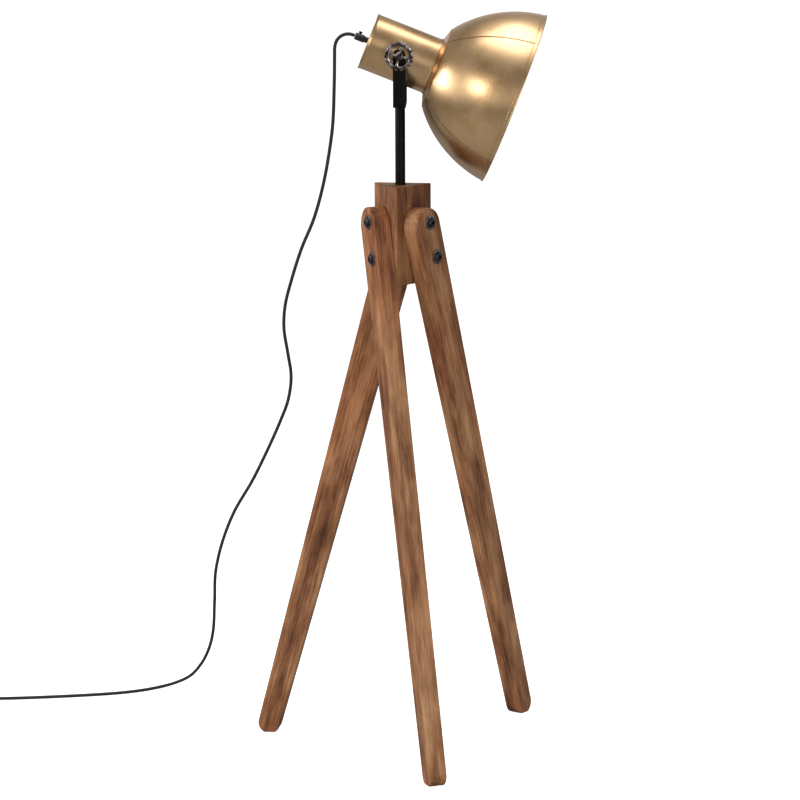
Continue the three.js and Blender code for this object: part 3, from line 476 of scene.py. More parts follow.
def eased_ring(inner: float, outer: float, low: float, high: float, ease: float,
               steps: int = 64) -> Solid:
    """Turns a ring with eased outer edges.

    Args:
        inner: Radius of the hole.
        outer: Outer radius.
        low: Height of its lower face.
        high: Height of its upper face.
        ease: Size of the eased edges.
        steps: Facets round it.

    Returns:
        The ring.
    """
    bow = ease * CORNER_SHARE
    section = [(inner, low + ease / 2), (inner + ease / 2, low), (outer - ease, low),
               (outer - bow, low + bow), (outer, low + ease), (outer, high - ease),
               (outer - bow, high - bow), (outer - ease, high),
               (inner + ease / 2, high), (inner, high - ease / 2)]
    return Solid().turned(section, steps, loop=True)


def hexagon_reach(across_flats: float) -> Callable[[float], float]:
    """The reach of a hexagon at each angle.

    Args:
        across_flats: Its size across two flats.

    Returns:
        A function from the angle to the radius.
    """

    def reach(angle: float) -> float:
        """Radius of the hexagon at an angle."""
        within = (angle + math.pi / 6) % (math.pi / 3) - math.pi / 6
        return across_flats / 2 / math.cos(within)

    return reach


# ---- finishes


class NodeBoard:
    """Lays out shader nodes, row by row."""

    def __init__(self, tree: bpy.types.NodeTree) -> None:
        """Starts with an empty tree.

        Args:
            tree: The tree that the nodes go in.
        """
        self.tree = tree
        self.tree.nodes.clear()
        self.placed = 0

    def node(self, kind: str, **settings: object) -> bpy.types.Node:
        """Adds a node.

        Args:
            kind: The node's type.
            settings: Its properties.

        Returns:
            The node.
        """
        node = self.tree.nodes.new(kind)
        for setting, value in settings.items():
            setattr(node, setting, value)
        row, column = divmod(self.placed, NODES_IN_A_ROW)
        node.location = (NODE_SPACING[0] * column, NODE_SPACING[1] * row)
        self.placed += 1
        return node

    def join(self, source: bpy.types.NodeSocket, target: bpy.types.NodeSocket) -> None:
        """Links an output to an input."""
        self.tree.links.new(source, target)

    def feed(self, sockets: Iterable[bpy.types.NodeSocket], *values: Feed) -> None:
        """Gives sockets their values.

        Args:
            sockets: The sockets.
            values: For each of them an output to link, or an even value.
        """
        for socket, value in zip(sockets, values):
            if isinstance(value, bpy.types.NodeSocket):
                self.join(value, socket)
            else:
                socket.default_value = value

    def place(self, origin: Vector, turn: Matrix, stretch: Triple) -> bpy.types.NodeSocket:
        """Coordinates in a piece's own axes, in metres, stretched along them.

        Args:
            origin: Where the piece's own origin stands.
            turn: The piece's turn in the frame.
            stretch: What each own coordinate is multiplied by.

        Returns:
            The coordinates.
        """
        source = self.node("ShaderNodeTexCoord").outputs["Object"]
        mapping = self.node("ShaderNodeMapping", vector_type="TEXTURE")
        self.feed([mapping.inputs[key] for key in ("Vector", "Location", "Rotation", "Scale")],
                  source, origin, turn.to_3x3().to_euler(), [1 / s for s in stretch])
        return mapping.outputs["Vector"]

    def plain(self, stretch: Triple = (1, 1, 1)) -> bpy.types.NodeSocket:
        """Coordinates in the frame's own axes, in metres."""
        return self.place(Vector(), Matrix(), stretch)

    def split(self, where: bpy.types.NodeSocket) -> list[bpy.types.NodeSocket]:
        """The X, Y and Z of coordinates.

        Args:
            where: The coordinates.

        Returns:
            The three values.
        """
        node = self.node("ShaderNodeSeparateXYZ")
        self.feed(node.inputs, where)
        return list(node.outputs)

    def noise(self, where: bpy.types.NodeSocket, scale: float, detail: float = 3.0,
              rough: float = 0.55, output: str = "Fac") -> bpy.types.NodeSocket:
        """Cloudy variation.

        Args:
            where: Coordinates.
            scale: Features per metre.
            detail: Octaves of finer features.
            rough: How strong the finer ones are.
            output: "Fac" for a value, "Color" for a random direction.

        Returns:
            Its value, which mostly keeps to NOISE_RANGE.
        """
        node = self.node("ShaderNodeTexNoise")
        self.feed([node.inputs[key] for key in ("Vector", "Scale", "Detail", "Roughness")],
                  where, scale, detail, rough)
        return node.outputs[output]

    def maths(self, operation: str, *values: Feed) -> bpy.types.NodeSocket:
        """One step of arithmetic.

        Args:
            operation: The Math node's operation.
            values: What it works on.

        Returns:
            The result.
        """
        node = self.node("ShaderNodeMath", operation=operation)
        self.feed(node.inputs, *values)
        return node.outputs["Value"]

    def vectors(self, operation: str, *values: Feed) -> bpy.types.NodeSocket:
        """One step of arithmetic on coordinates.

        Args:
            operation: The Vector Math node's operation.
            values: What it works on.

        Returns:
            The result, a single value for a length.
        """
        node = self.node("ShaderNodeVectorMath", operation=operation)
        self.feed(node.inputs, *values)
        return node.outputs["Value" if operation == "LENGTH" else "Vector"]

    def weigh(self, *parts: tuple[bpy.types.NodeSocket, float]) -> bpy.types.NodeSocket:
        """Adds up values.

        Args:
            parts: The values, each with its weight.

        Returns:
            The sum.
        """
        total: Feed = 0.0
        for value, weight in parts:
            total = self.maths("MULTIPLY_ADD", value, weight, total)
        return total

    def spread(self, value: bpy.types.NodeSocket, low: float, high: float, to_low: float,
               to_high: float) -> bpy.types.NodeSocket:
        """Maps one range of values onto another.

        Args:
            value: The value.
            low: Start of its range.
            high: End of its range.
            to_low: Start of the new range.
            to_high: End of the new range.

        Returns:
            The new value, kept inside its range.
        """
        node = self.node("ShaderNodeMapRange")
        self.feed(node.inputs, value, low, high, to_low, to_high)
        return node.outputs["Result"]

    def vary(self, noise: bpy.types.NodeSocket, low: float, high: float) -> bpy.types.NodeSocket:
        """Turns a noise into a value between two limits."""
        return self.spread(noise, *NOISE_RANGE, low, high)

    def ramp(self, value: bpy.types.NodeSocket,
             stops: Sequence[tuple[float, Tint]]) -> bpy.types.NodeSocket:
        """Colours a value.

        Args:
            value: The value.
            stops: Positions with their colours.

        Returns:
            The colour.
        """
        node = self.node("ShaderNodeValToRGB")
        elements = node.color_ramp.elements
        while len(elements) < len(stops):
            elements.new(0.5)
        for element, (position, tint) in zip(elements, stops):
            element.position = position
            element.color = tint
        self.feed(node.inputs, value)
        return node.outputs["Color"]

    def two_tone(self, cloud: bpy.types.NodeSocket, dark: Tint, light: Tint) -> bpy.types.NodeSocket:
        """Colours a noise from dark to light."""
        return self.ramp(cloud, [(0.35, dark), (0.65, light)])

    def blend(self, share: bpy.types.NodeSocket, first: Feed, second: Feed,
              how: str = "MIX") -> bpy.types.NodeSocket:
        """Blends two colours.

        Args:
            share: How much of the second.
            first: The first colour.
            second: The second colour.
            how: The Mix node's blend type.

        Returns:
            The blend.
        """
        node = self.node("ShaderNodeMix", data_type="RGBA", blend_type=how)
        colour_sockets = node.inputs[6:8]
        self.feed([node.inputs["Factor"], *colour_sockets], share, first, second)
        return node.outputs[2]

    def bump(self, height: bpy.types.NodeSocket, depth: float,
             strength: float) -> bpy.types.NodeSocket:
        """Roughens the surface.

        Args:
            height: The height, 0 to 1.
            depth: What a height of 1 is, in metres.
            strength: How strongly it shows.

        Returns:
            The normal.
        """
        node = self.node("ShaderNodeBump")
        self.feed([node.inputs[key] for key in ("Height", "Distance", "Strength")],
                  height, depth, strength)
        return node.outputs["Normal"]


class FinishBoard(NodeBoard):
    """Lays out one material round its main shader."""

    def __init__(self, name: str, metallic: float, **sockets: float) -> None:
        """Starts a material.

        Args:
            name: The material's name.
            metallic: How metallic it is, 0 or 1.
            sockets: Even values, set straight on the shader's sockets.
        """
        self.material = bpy.data.materials.new(name)
        self.material.use_nodes = True
        super().__init__(self.material.node_tree)
        self.shader = self.node("ShaderNodeBsdfPrincipled")
        output = self.node("ShaderNodeOutputMaterial")
        self.join(self.shader.outputs["BSDF"], output.inputs["Surface"])
        self.shader.inputs["Metallic"].default_value = metallic
        for socket, value in sockets.items():
            self.shader.inputs[socket.replace("_", " ")].default_value = value

    def done(self, tint: bpy.types.NodeSocket, roughness: bpy.types.NodeSocket,
             normal: bpy.types.NodeSocket) -> bpy.types.Material:
        """Wires colour, roughness and normal.

        Args:
            tint: The colour.
            roughness: The roughness.
            normal: The normal.

        Returns:
            The material.
        """
        for key, value in (("Base Color", tint), ("Roughness", roughness), ("Normal", normal)):
            self.join(value, self.shader.inputs[key])
        return self.material


@dataclass(frozen=True)
class AntiqueBrass:
    """Spun sheet with an aged brass finish: fine lathe rings, soft patina, a few darker specks."""

    origin: Vector
    turn: Matrix
    light: Tint = colour(226, 192, 148)
    middle: Tint = colour(213, 176, 130)
    dark: Tint = colour(180, 138, 92)
    # Dark brown of the seam lines: the joints' own colour together with painted shade in their
    # grooves.
    seam_joint_and_shade_tint: Tint = colour(92, 62, 38)
    seamed: bool = False

    def material(self, name: str) -> bpy.types.Material:
        """Makes the material for pieces spun about the head's axis.

        Args:
            name: The material's name.

        Returns:
            The material.
        """
        board = FinishBoard(name, 1.0, Coat_Weight=0.2, Coat_Roughness=0.1)
        even = board.place(self.origin, self.turn, (1, 1, 1))
        rings = board.place(self.origin, self.turn, (0.02, 0.02, 1))
        cloud = board.noise(even, 16, 4, 0.6)
        fine = board.noise(even, 240, 3, 0.6)
        spun = board.noise(rings, 900, 2, 0.7)
        tint = board.ramp(board.weigh((cloud, 0.85), (fine, 0.15)),
                          [(0.22, self.dark), (0.48, self.middle), (0.78, self.light)])
        speck = board.spread(board.noise(even, 620, 1, 0.4), 0.7, 0.8, 0, 0.3)
        tint = board.blend(speck, tint, self.dark)
        # Painted shade: the seam lines are darkened as if their grooves lay in shade, along with the
        # joints' own dark colour.
        if self.seamed:
            tint = board.blend(self._seam(board, even), tint, self.seam_joint_and_shade_tint)
        roughness = board.maths("ADD", board.vary(cloud, 0.27, 0.35), board.vary(spun, -0.02, 0.03))
        height = board.weigh((spun, 1.0), (fine, 0.6))
        return board.done(tint, roughness, board.bump(height, 0.000008, 0.25))

    @staticmethod
    def _seam(board: NodeBoard, even: bpy.types.NodeSocket) -> bpy.types.NodeSocket:
        """How near the shade's four seams are, which stand at 45 degrees to its own X and Y, for
        their dark colour and painted shade.

        Args:
            board: The material's nodes.
            even: Coordinates in the head's own axes.

        Returns:
            How much of the seam tint shows, the joints' own dark colour with painted shade in their
            grooves: most in a seam, falling to 0 beside it.
        """
        x, y = (board.maths("MULTIPLY", part, part) for part in board.split(even)[:2])
        reach = board.maths("MULTIPLY", board.maths("SQRT", board.maths("ADD", x, y)), 2.0)
        away = board.maths("DIVIDE", board.maths("ABSOLUTE", board.maths("SUBTRACT", x, y)), reach)
        return board.spread(away, 0.0003, 0.0011, 0.85, 0.0)


@dataclass(frozen=True)
class OiledWood:
    """Dark oiled hardwood whose grain runs along the piece's own Z axis."""

    pith: Vector
    turn: Matrix
    light: Tint = colour(196, 148, 106)
    middle: Tint = colour(148, 100, 66)
    dark: Tint = colour(82, 48, 29)
    warm: Tint = colour(240, 200, 174)
    rings_per_metre: float = 150.0
    waviness: float = 0.022

    def material(self, name: str) -> bpy.types.Material:
        """Makes the material of one wooden piece.

        Args:
            name: The material's name.

        Returns:
            The material.
        """
        board = FinishBoard(name, 0.0, Specular_IOR_Level=0.22)
        grain, fibre, patch = (board.place(self.pith, self.turn, (1, 1, along))
                               for along in (0.07, 0.025, 0.25))
        wander = board.noise(grain, 22, 2, 0.5, "Color")
        wavy = board.vectors("MULTIPLY_ADD", wander, (self.waviness, self.waviness, 0), grain)
        depth = board.vectors("LENGTH", board.vectors("MULTIPLY", wavy, (1, 1, 0)))
        rings = board.maths("FRACT", board.maths("MULTIPLY", depth, self.rings_per_metre))
        late = board.spread(rings, 0.55, 1.0, 0, 1)
        figure = board.noise(patch, 32, 4, 0.6)
        warm = board.spread(board.noise(patch, 13, 2, 0.5), 0.42, 0.66, 0.0, 0.5)
        streak = board.noise(fibre, 420, 5, 0.65)
        pore = board.spread(board.noise(fibre, 1100, 2, 0.5), 0.6, 0.68, 0, 1)
        tint = board.ramp(board.weigh((figure, 0.68), (streak, 0.34), (late, -0.04)),
                          [(0.36, self.dark), (0.48, self.middle), (0.62, self.light)])
        tint = board.blend(warm, tint, self.warm, "MULTIPLY")
        tint = board.blend(board.maths("MULTIPLY", pore, 0.4), tint, self.dark)
        roughness = board.weigh((board.vary(streak, 0.44, 0.6), 1.0), (pore, 0.12))
        height = board.weigh((streak, 0.6), (pore, -1.0))
        return board.done(tint, roughness, board.bump(height, 0.00012, 0.5))


@dataclass(frozen=True)
class BlackPaint:
    """Satin black powder coat with a fine pebble surface and a little dust here and there."""

    dark: Tint = colour(7, 6, 5)
    middle: Tint = colour(12, 11, 9)
    light: Tint = colour(22, 20, 17)

    def material(self, name: str) -> bpy.types.Material:
        """Makes the material of the painted steel pieces.

        Args:
            name: The material's name.

        Returns:
            The material.
        """
        board = FinishBoard(name, 0.0, Specular_IOR_Level=0.1)
        even = board.plain()
        pebble = board.noise(even, 900, 2, 0.5)
        rub = board.noise(even, 45, 4, 0.6)
        tint = board.ramp(rub, [(0.3, self.dark), (0.55, self.middle), (0.75, self.light)])
        return board.done(tint, board.vary(rub, 0.36, 0.5), board.bump(pebble, 0.00006, 0.35))


@dataclass(frozen=True)
class CastNickel:
    """Cast metal with a dark nickel plating, rubbed brighter here and there."""

    dark: Tint = colour(58, 51, 49)
    middle: Tint = colour(124, 114, 110)
    light: Tint = colour(222, 214, 210)

    def material(self, name: str) -> bpy.types.Material:
        """Makes the material of the clamp handwheels.

        Args:
            name: The material's name.

        Returns:
            The material.
        """
        board = FinishBoard(name, 1.0)
        even = board.plain()
        cast = board.noise(even, 700, 4, 0.6)
        wear = board.noise(even, 120, 3, 0.6)
        tint = board.ramp(wear, [(0.38, self.dark), (0.52, self.middle), (0.64, self.light)])
        return board.done(tint, board.vary(cast, 0.13, 0.25), board.bump(cast, 0.00009, 0.5))


@dataclass(frozen=True)
class PlainSteel:
    """Bare or plated steel: fine random scratches and a cloudy sheen."""

    dark: Tint
    light: Tint
    roughness: Pair

    def material(self, name: str) -> bpy.types.Material:
        """Makes the material of a small steel piece.

        Args:
            name: The material's name.

        Returns:
            The material.
        """
        board = FinishBoard(name, 1.0)
        scratch = board.noise(board.plain((0.1, 1, 1)), 1300, 3, 0.7)
        cloud = board.noise(board.plain(), 150, 4, 0.6)
        tint = board.two_tone(cloud, self.dark, self.light)
        roughness = board.maths("ADD", board.vary(cloud, *self.roughness),
                                board.vary(scratch, -0.04, 0.04))
        return board.done(tint, roughness, board.bump(scratch, 0.00002, 0.5))


@dataclass(frozen=True)
class MouldedPart:
    """Moulded or glazed matter: a fine spark-eroded texture and slight shade changes."""

    dark: Tint
    light: Tint
    roughness: Pair = (0.42, 0.58)
    texture: float = 0.00004
    grain: float = 1500.0

    def material(self, name: str) -> bpy.types.Material:
        """Makes the material of a moulded piece.

        Args:
            name: The material's name.

        Returns:
            The material.
        """
        board = FinishBoard(name, 0.0)
        even = board.plain()
        texture = board.noise(even, self.grain, 2, 0.5)
        tint = board.two_tone(board.noise(even, 90, 4, 0.6), self.dark, self.light)
        roughness = board.vary(board.noise(even, 210, 3, 0.6), *self.roughness)
        return board.done(tint, roughness, board.bump(texture, self.texture, 0.5))


@dataclass(frozen=True)
class OpalGlass:
    """White opal bulb glass, softly glossy."""

    dark: Tint = colour(236, 233, 224)
    light: Tint = colour(247, 245, 238)

    def material(self, name: str) -> bpy.types.Material:
        """Makes the material of the bulb's globe.

        Args:
            name: The material's name.

        Returns:
            The material.
        """
        board = FinishBoard(name, 0.0, Coat_Weight=0.6, Coat_Roughness=0.05,
                            Subsurface_Weight=0.15, Subsurface_Scale=0.004)
        even = board.plain()
        cloud = board.noise(even, 60, 3, 0.5)
        ripple = board.noise(even, 120, 1, 0.4)
        return board.done(board.two_tone(cloud, self.dark, self.light),
                          board.vary(cloud, 0.16, 0.26), board.bump(ripple, 0.0001, 0.2))


@dataclass(frozen=True)
class BraidedCover:
    """Dark braided cord cover: two sets of threads that cross on the diagonal."""

    strands: int = 16
    rows_per_metre: float = 420.0
    dark: Tint = colour(24, 21, 19)
    light: Tint = colour(58, 52, 47)

    def material(self, name: str) -> bpy.types.Material:
        """Makes the cord's material, laid out by its own map (turn, metres along).

        Args:
            name: The material's name.

        Returns:
            The material.
        """
        board = FinishBoard(name, 0.0, Sheen_Weight=0.15, Specular_IOR_Level=0.3)
        where = board.node("ShaderNodeUVMap", uv_map="braid")
        turn, metres, _ = board.split(where.outputs["UV"])
        around = board.maths("MULTIPLY", turn, self.strands * math.pi)
        along = board.maths("MULTIPLY", metres, self.rows_per_metre * math.pi)
        right, left = (board.maths("ABSOLUTE", board.maths("SINE", board.maths(way, along, around)))
                       for way in ("ADD", "SUBTRACT"))
        weave = board.maths("MAXIMUM", right, left)
        thread = board.noise(board.plain(), 2600, 3, 0.6)
        value = board.maths("MULTIPLY", weave, board.vary(thread, 0.75, 1.1))
        tint = board.ramp(value, [(0.35, self.dark), (1.0, self.light)])
        return board.done(tint, board.vary(thread, 0.68, 0.86), board.bump(weave, 0.0003, 0.6))


@dataclass
class FinishRack:
    """Every finish of the lamp, made once and shared by its pieces."""

    head_origin: Vector
    head_turn: Matrix
    made: dict[Slot, bpy.types.Material] = field(default_factory=dict)
    # The washers' steel: a lighter copy of the blackened steel that paints in the highlight their
    # faces catch.
    washer: bpy.types.Material | None = None

    def fill(self) -> FinishRack:
        """Makes all the shared finishes.

        Returns:
            This rack.
        """
        finishes = {
            Slot.BRASS: ("antique_brass", AntiqueBrass(self.head_origin, self.head_turn)),
            Slot.BLACK_STEEL: ("black_powder_coat", BlackPaint()),
            Slot.GUNMETAL: ("dark_nickel", CastNickel()),
            Slot.DARK_STEEL: ("blackened_steel", PlainSteel(
                colour(40, 40, 44), colour(76, 76, 82), (0.28, 0.42))),
            Slot.ZINC: ("zinc_plate", PlainSteel(
                colour(150, 151, 154), colour(196, 197, 200), (0.24, 0.4))),
            Slot.BLACK_PLASTIC: ("black_plastic", MouldedPart(
                colour(20, 19, 18), colour(34, 32, 30))),
            Slot.CERAMIC: ("glazed_ceramic", MouldedPart(
                colour(222, 217, 204), colour(238, 234, 224), (0.12, 0.24), 0.00002, 300.0)),
            Slot.CONTACT: ("contact_metal", PlainSteel(
                colour(172, 148, 96), colour(204, 182, 132), (0.22, 0.36))),
            Slot.GLASS: ("opal_glass", OpalGlass()),
            Slot.CORD: ("braided_cover", BraidedCover()),
            Slot.BROWN_LEAD: ("brown_lead", MouldedPart(
                colour(80, 50, 30), colour(98, 62, 38), (0.35, 0.5))),
            Slot.BLUE_LEAD: ("blue_lead", MouldedPart(
                colour(34, 84, 150), colour(46, 100, 172), (0.35, 0.5))),
            Slot.PIN: ("plug_pin_plate", PlainSteel(
                colour(186, 182, 170), colour(216, 213, 204), (0.15, 0.28))),
        }
        self.made = {slot: finish.material(name) for slot, (name, finish) in finishes.items()}
        # Painted highlight: the washers get a lighter copy of the blackened steel, standing in for
        # the light on their faces.
        lightened_washer_steel = PlainSteel(colour(88, 86, 84), colour(150, 146, 140), (0.24, 0.36))
        self.washer = lightened_washer_steel.material("washer_steel_painted_highlight")
        return self


@dataclass
class Workshop:
    """Turns solids into the lamp's named pieces."""

    rack: FinishRack
    pieces: list[str] = field(default_factory=list)

    def piece(self, name: str, solid: Solid, place: Matrix, slot: Slot, body: Body | None,
              stands_for: Iterable[str], material: bpy.types.Material | None = None,
              crease: float = 32.0) -> bpy.types.Object:
        """Makes one piece from a solid and puts it in the scene.

        Args:
            name: The piece's name.
            solid: Its shape, in its own millimetres.
            place: Where it goes.
            slot: The record's slot for its finish.
            body: The body it rides on, or None where it bends between two.
            stands_for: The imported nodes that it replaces.
            material: Its material, where it isn't the slot's shared one.
            crease: Edges sharper than this many degrees stay crisp.

        Returns:
            The piece.
        """
        solid.moved(place)
        mesh = bpy.data.meshes.new(name)
        solid.mesh.to_mesh(mesh)
        solid.mesh.free()
        mesh.shade_smooth()
        mesh.set_sharp_from_angle(angle=math.radians(crease))
        mesh.materials.append(material or self.rack.made[slot])
        made = bpy.data.objects.new(name, mesh)
        bpy.context.scene.collection.objects.link(made)
        if body is not None:
            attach(made, body.value)
        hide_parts(*stands_for)
        self.pieces.append(name)
        log.info("%s: %d faces", name, len(mesh.polygons))
        return made

    def dress(self, frame: dict, slot: Slot, *nodes: str) -> None:
        """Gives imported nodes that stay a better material.

        Args:
            frame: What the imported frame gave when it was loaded.
            slot: The finish.
            nodes: The nodes.
        """
        for name in nodes:
            frame["nodes"][name].material_slots[0].material = self.rack.made[slot]
            log.info("%s: %s", name, slot.value)


# ---- studio


@dataclass(frozen=True)
class Panel:
    """One soft panel light: where it hangs from the lamp's middle, its size and its watts."""

    name: str
    offset: Triple
    size: Pair
    power: float
    in_gloss: bool = True

    def hang(self, target: Vector) -> None:
        """Hangs the panel and turns it to what it lights.

        Args:
            target: What it faces, which its place is counted from.
        """
        data = bpy.data.lights.new(self.name, "AREA")
        data.shape = "RECTANGLE"
        data.size, data.size_y = self.size
        data.energy = self.power
        light = bpy.data.objects.new(self.name, data)
        light.location = target + Vector(self.offset)
        light.visible_glossy = self.in_gloss
        light.rotation_euler = (-Vector(self.offset)).to_track_quat("-Z", "Y").to_euler()
        bpy.context.scene.collection.objects.link(light)


@dataclass
class Studio:
    """The camera, the pale floor and the soft lights."""

    camera_from_mast: Triple = (0.1137, -5.2706, 1.5311)
    pitch: float = 79.648
    lens: float = 150.17
    sensor: float = 36.0
    side_shift: float = -0.09
    farthest: float = 200.0
    floor_radius: float = 60.0
    floor_corners: int = 40
    floor_glow: float = 0.8
    lit_middle: Triple = (0.05, 0.0, 1.0)
    panels: tuple[Panel, ...] = (
        Panel("key", (-2.25, -2.15, 0.95), (0.9, 0.8), 17),
        Panel("left", (-2.8, 0.15, 0.75), (0.8, 0.8), 24),
        Panel("low_left", (-3.0, -2.2, -0.35), (2.4, 1.2), 30, in_gloss=False),
        Panel("top", (0.1, 0.1, 2.7), (2.0, 2.0), 44),
        Panel("fill", (2.2, -4.0, -0.2), (2.6, 1.8), 44),
    )
    glow_by_height: tuple[Pair, ...] = (
        (0.0, 0.4), (0.49, 0.4), (0.51, 0.62), (0.6, 0.62), (0.68, 0.45), (0.75, 0.27),
        (0.91, 0.3), (0.96, 0.6),
    )

    def set_camera(self) -> None:
        """Puts up the camera at the lamp's main view."""
        data = bpy.data.cameras.new("camera")
        data.lens = self.lens
        data.sensor_width = self.sensor
        data.shift_x = self.side_shift
        data.clip_end = self.farthest
        camera = bpy.data.objects.new("camera", data)
        camera.location = mast_axis() + Vector(self.camera_from_mast)
        camera.rotation_euler = (math.radians(self.pitch), 0.0, 0.0)
        bpy.context.scene.collection.objects.link(camera)
        bpy.context.scene.camera = camera

    def lay_floor(self) -> None:
        """Lays the floor, pale to look at and greyer where the lamp mirrors it."""
        board = FinishBoard("studio_floor", 0.0, Specular_IOR_Level=0.0)
        seen = board.node("ShaderNodeLightPath").outputs["Is Camera Ray"]
        board.feed([board.shader.inputs[key] for key in ("Emission Color", "Emission Strength")],
                   (1, 1, 1, 1), board.maths("MULTIPLY", seen, self.floor_glow))
        even = board.plain()
        cloud = board.noise(even, 3, 2, 0.5)
        pale = board.ramp(cloud, [(0.0, (0.8, 0.8, 0.8, 1)), (1.0, (0.82, 0.82, 0.82, 1))])
        tint = board.blend(seen, (0.4, 0.4, 0.4, 1), pale)
        normal = board.bump(board.noise(even, 400, 2), 0.00002, 0.1)
        material = board.done(tint, board.vary(cloud, 0.85, 0.9), normal)
        mesh = bpy.data.meshes.new("floor")
        corners = arc((0.0, 0.0), self.floor_radius, 0.0, 360.0, self.floor_corners)[:-1]
        mesh.from_pydata([(x, y, 0.0) for x, y in corners], [], [list(range(len(corners)))])
        mesh.materials.append(material)
        floor = bpy.data.objects.new("floor", mesh)
        bpy.context.scene.collection.objects.link(floor)

    def set_lights(self) -> None:
        """Hangs the soft panels and sets the glow around them."""
        for panel in self.panels:
            panel.hang(mast_axis() + Vector(self.lit_middle))
        world = bpy.data.worlds.new("studio")
        bpy.context.scene.world = world
        world.use_nodes = True
        board = NodeBoard(world.node_tree)
        around = board.node("ShaderNodeTexCoord").outputs["Generated"]
        height = board.maths("MULTIPLY_ADD", board.split(around)[2], 0.5, 0.5)
        glow, white = (board.node("ShaderNodeBackground") for _ in range(2))
        stops = [(at, (level, level, level, 1)) for at, level in self.glow_by_height]
        board.feed(glow.inputs, board.ramp(height, stops))
        board.feed(white.inputs, (1, 1, 1, 1))
        seen = board.node("ShaderNodeLightPath").outputs["Is Camera Ray"]
        pick = board.node("ShaderNodeMixShader")
        board.feed(pick.inputs, seen, glow.outputs[0], white.outputs[0])
        board.join(pick.outputs[0], board.node("ShaderNodeOutputWorld").inputs["Surface"])
        bpy.context.scene.view_settings.view_transform = "Standard"


# ---- mains cord


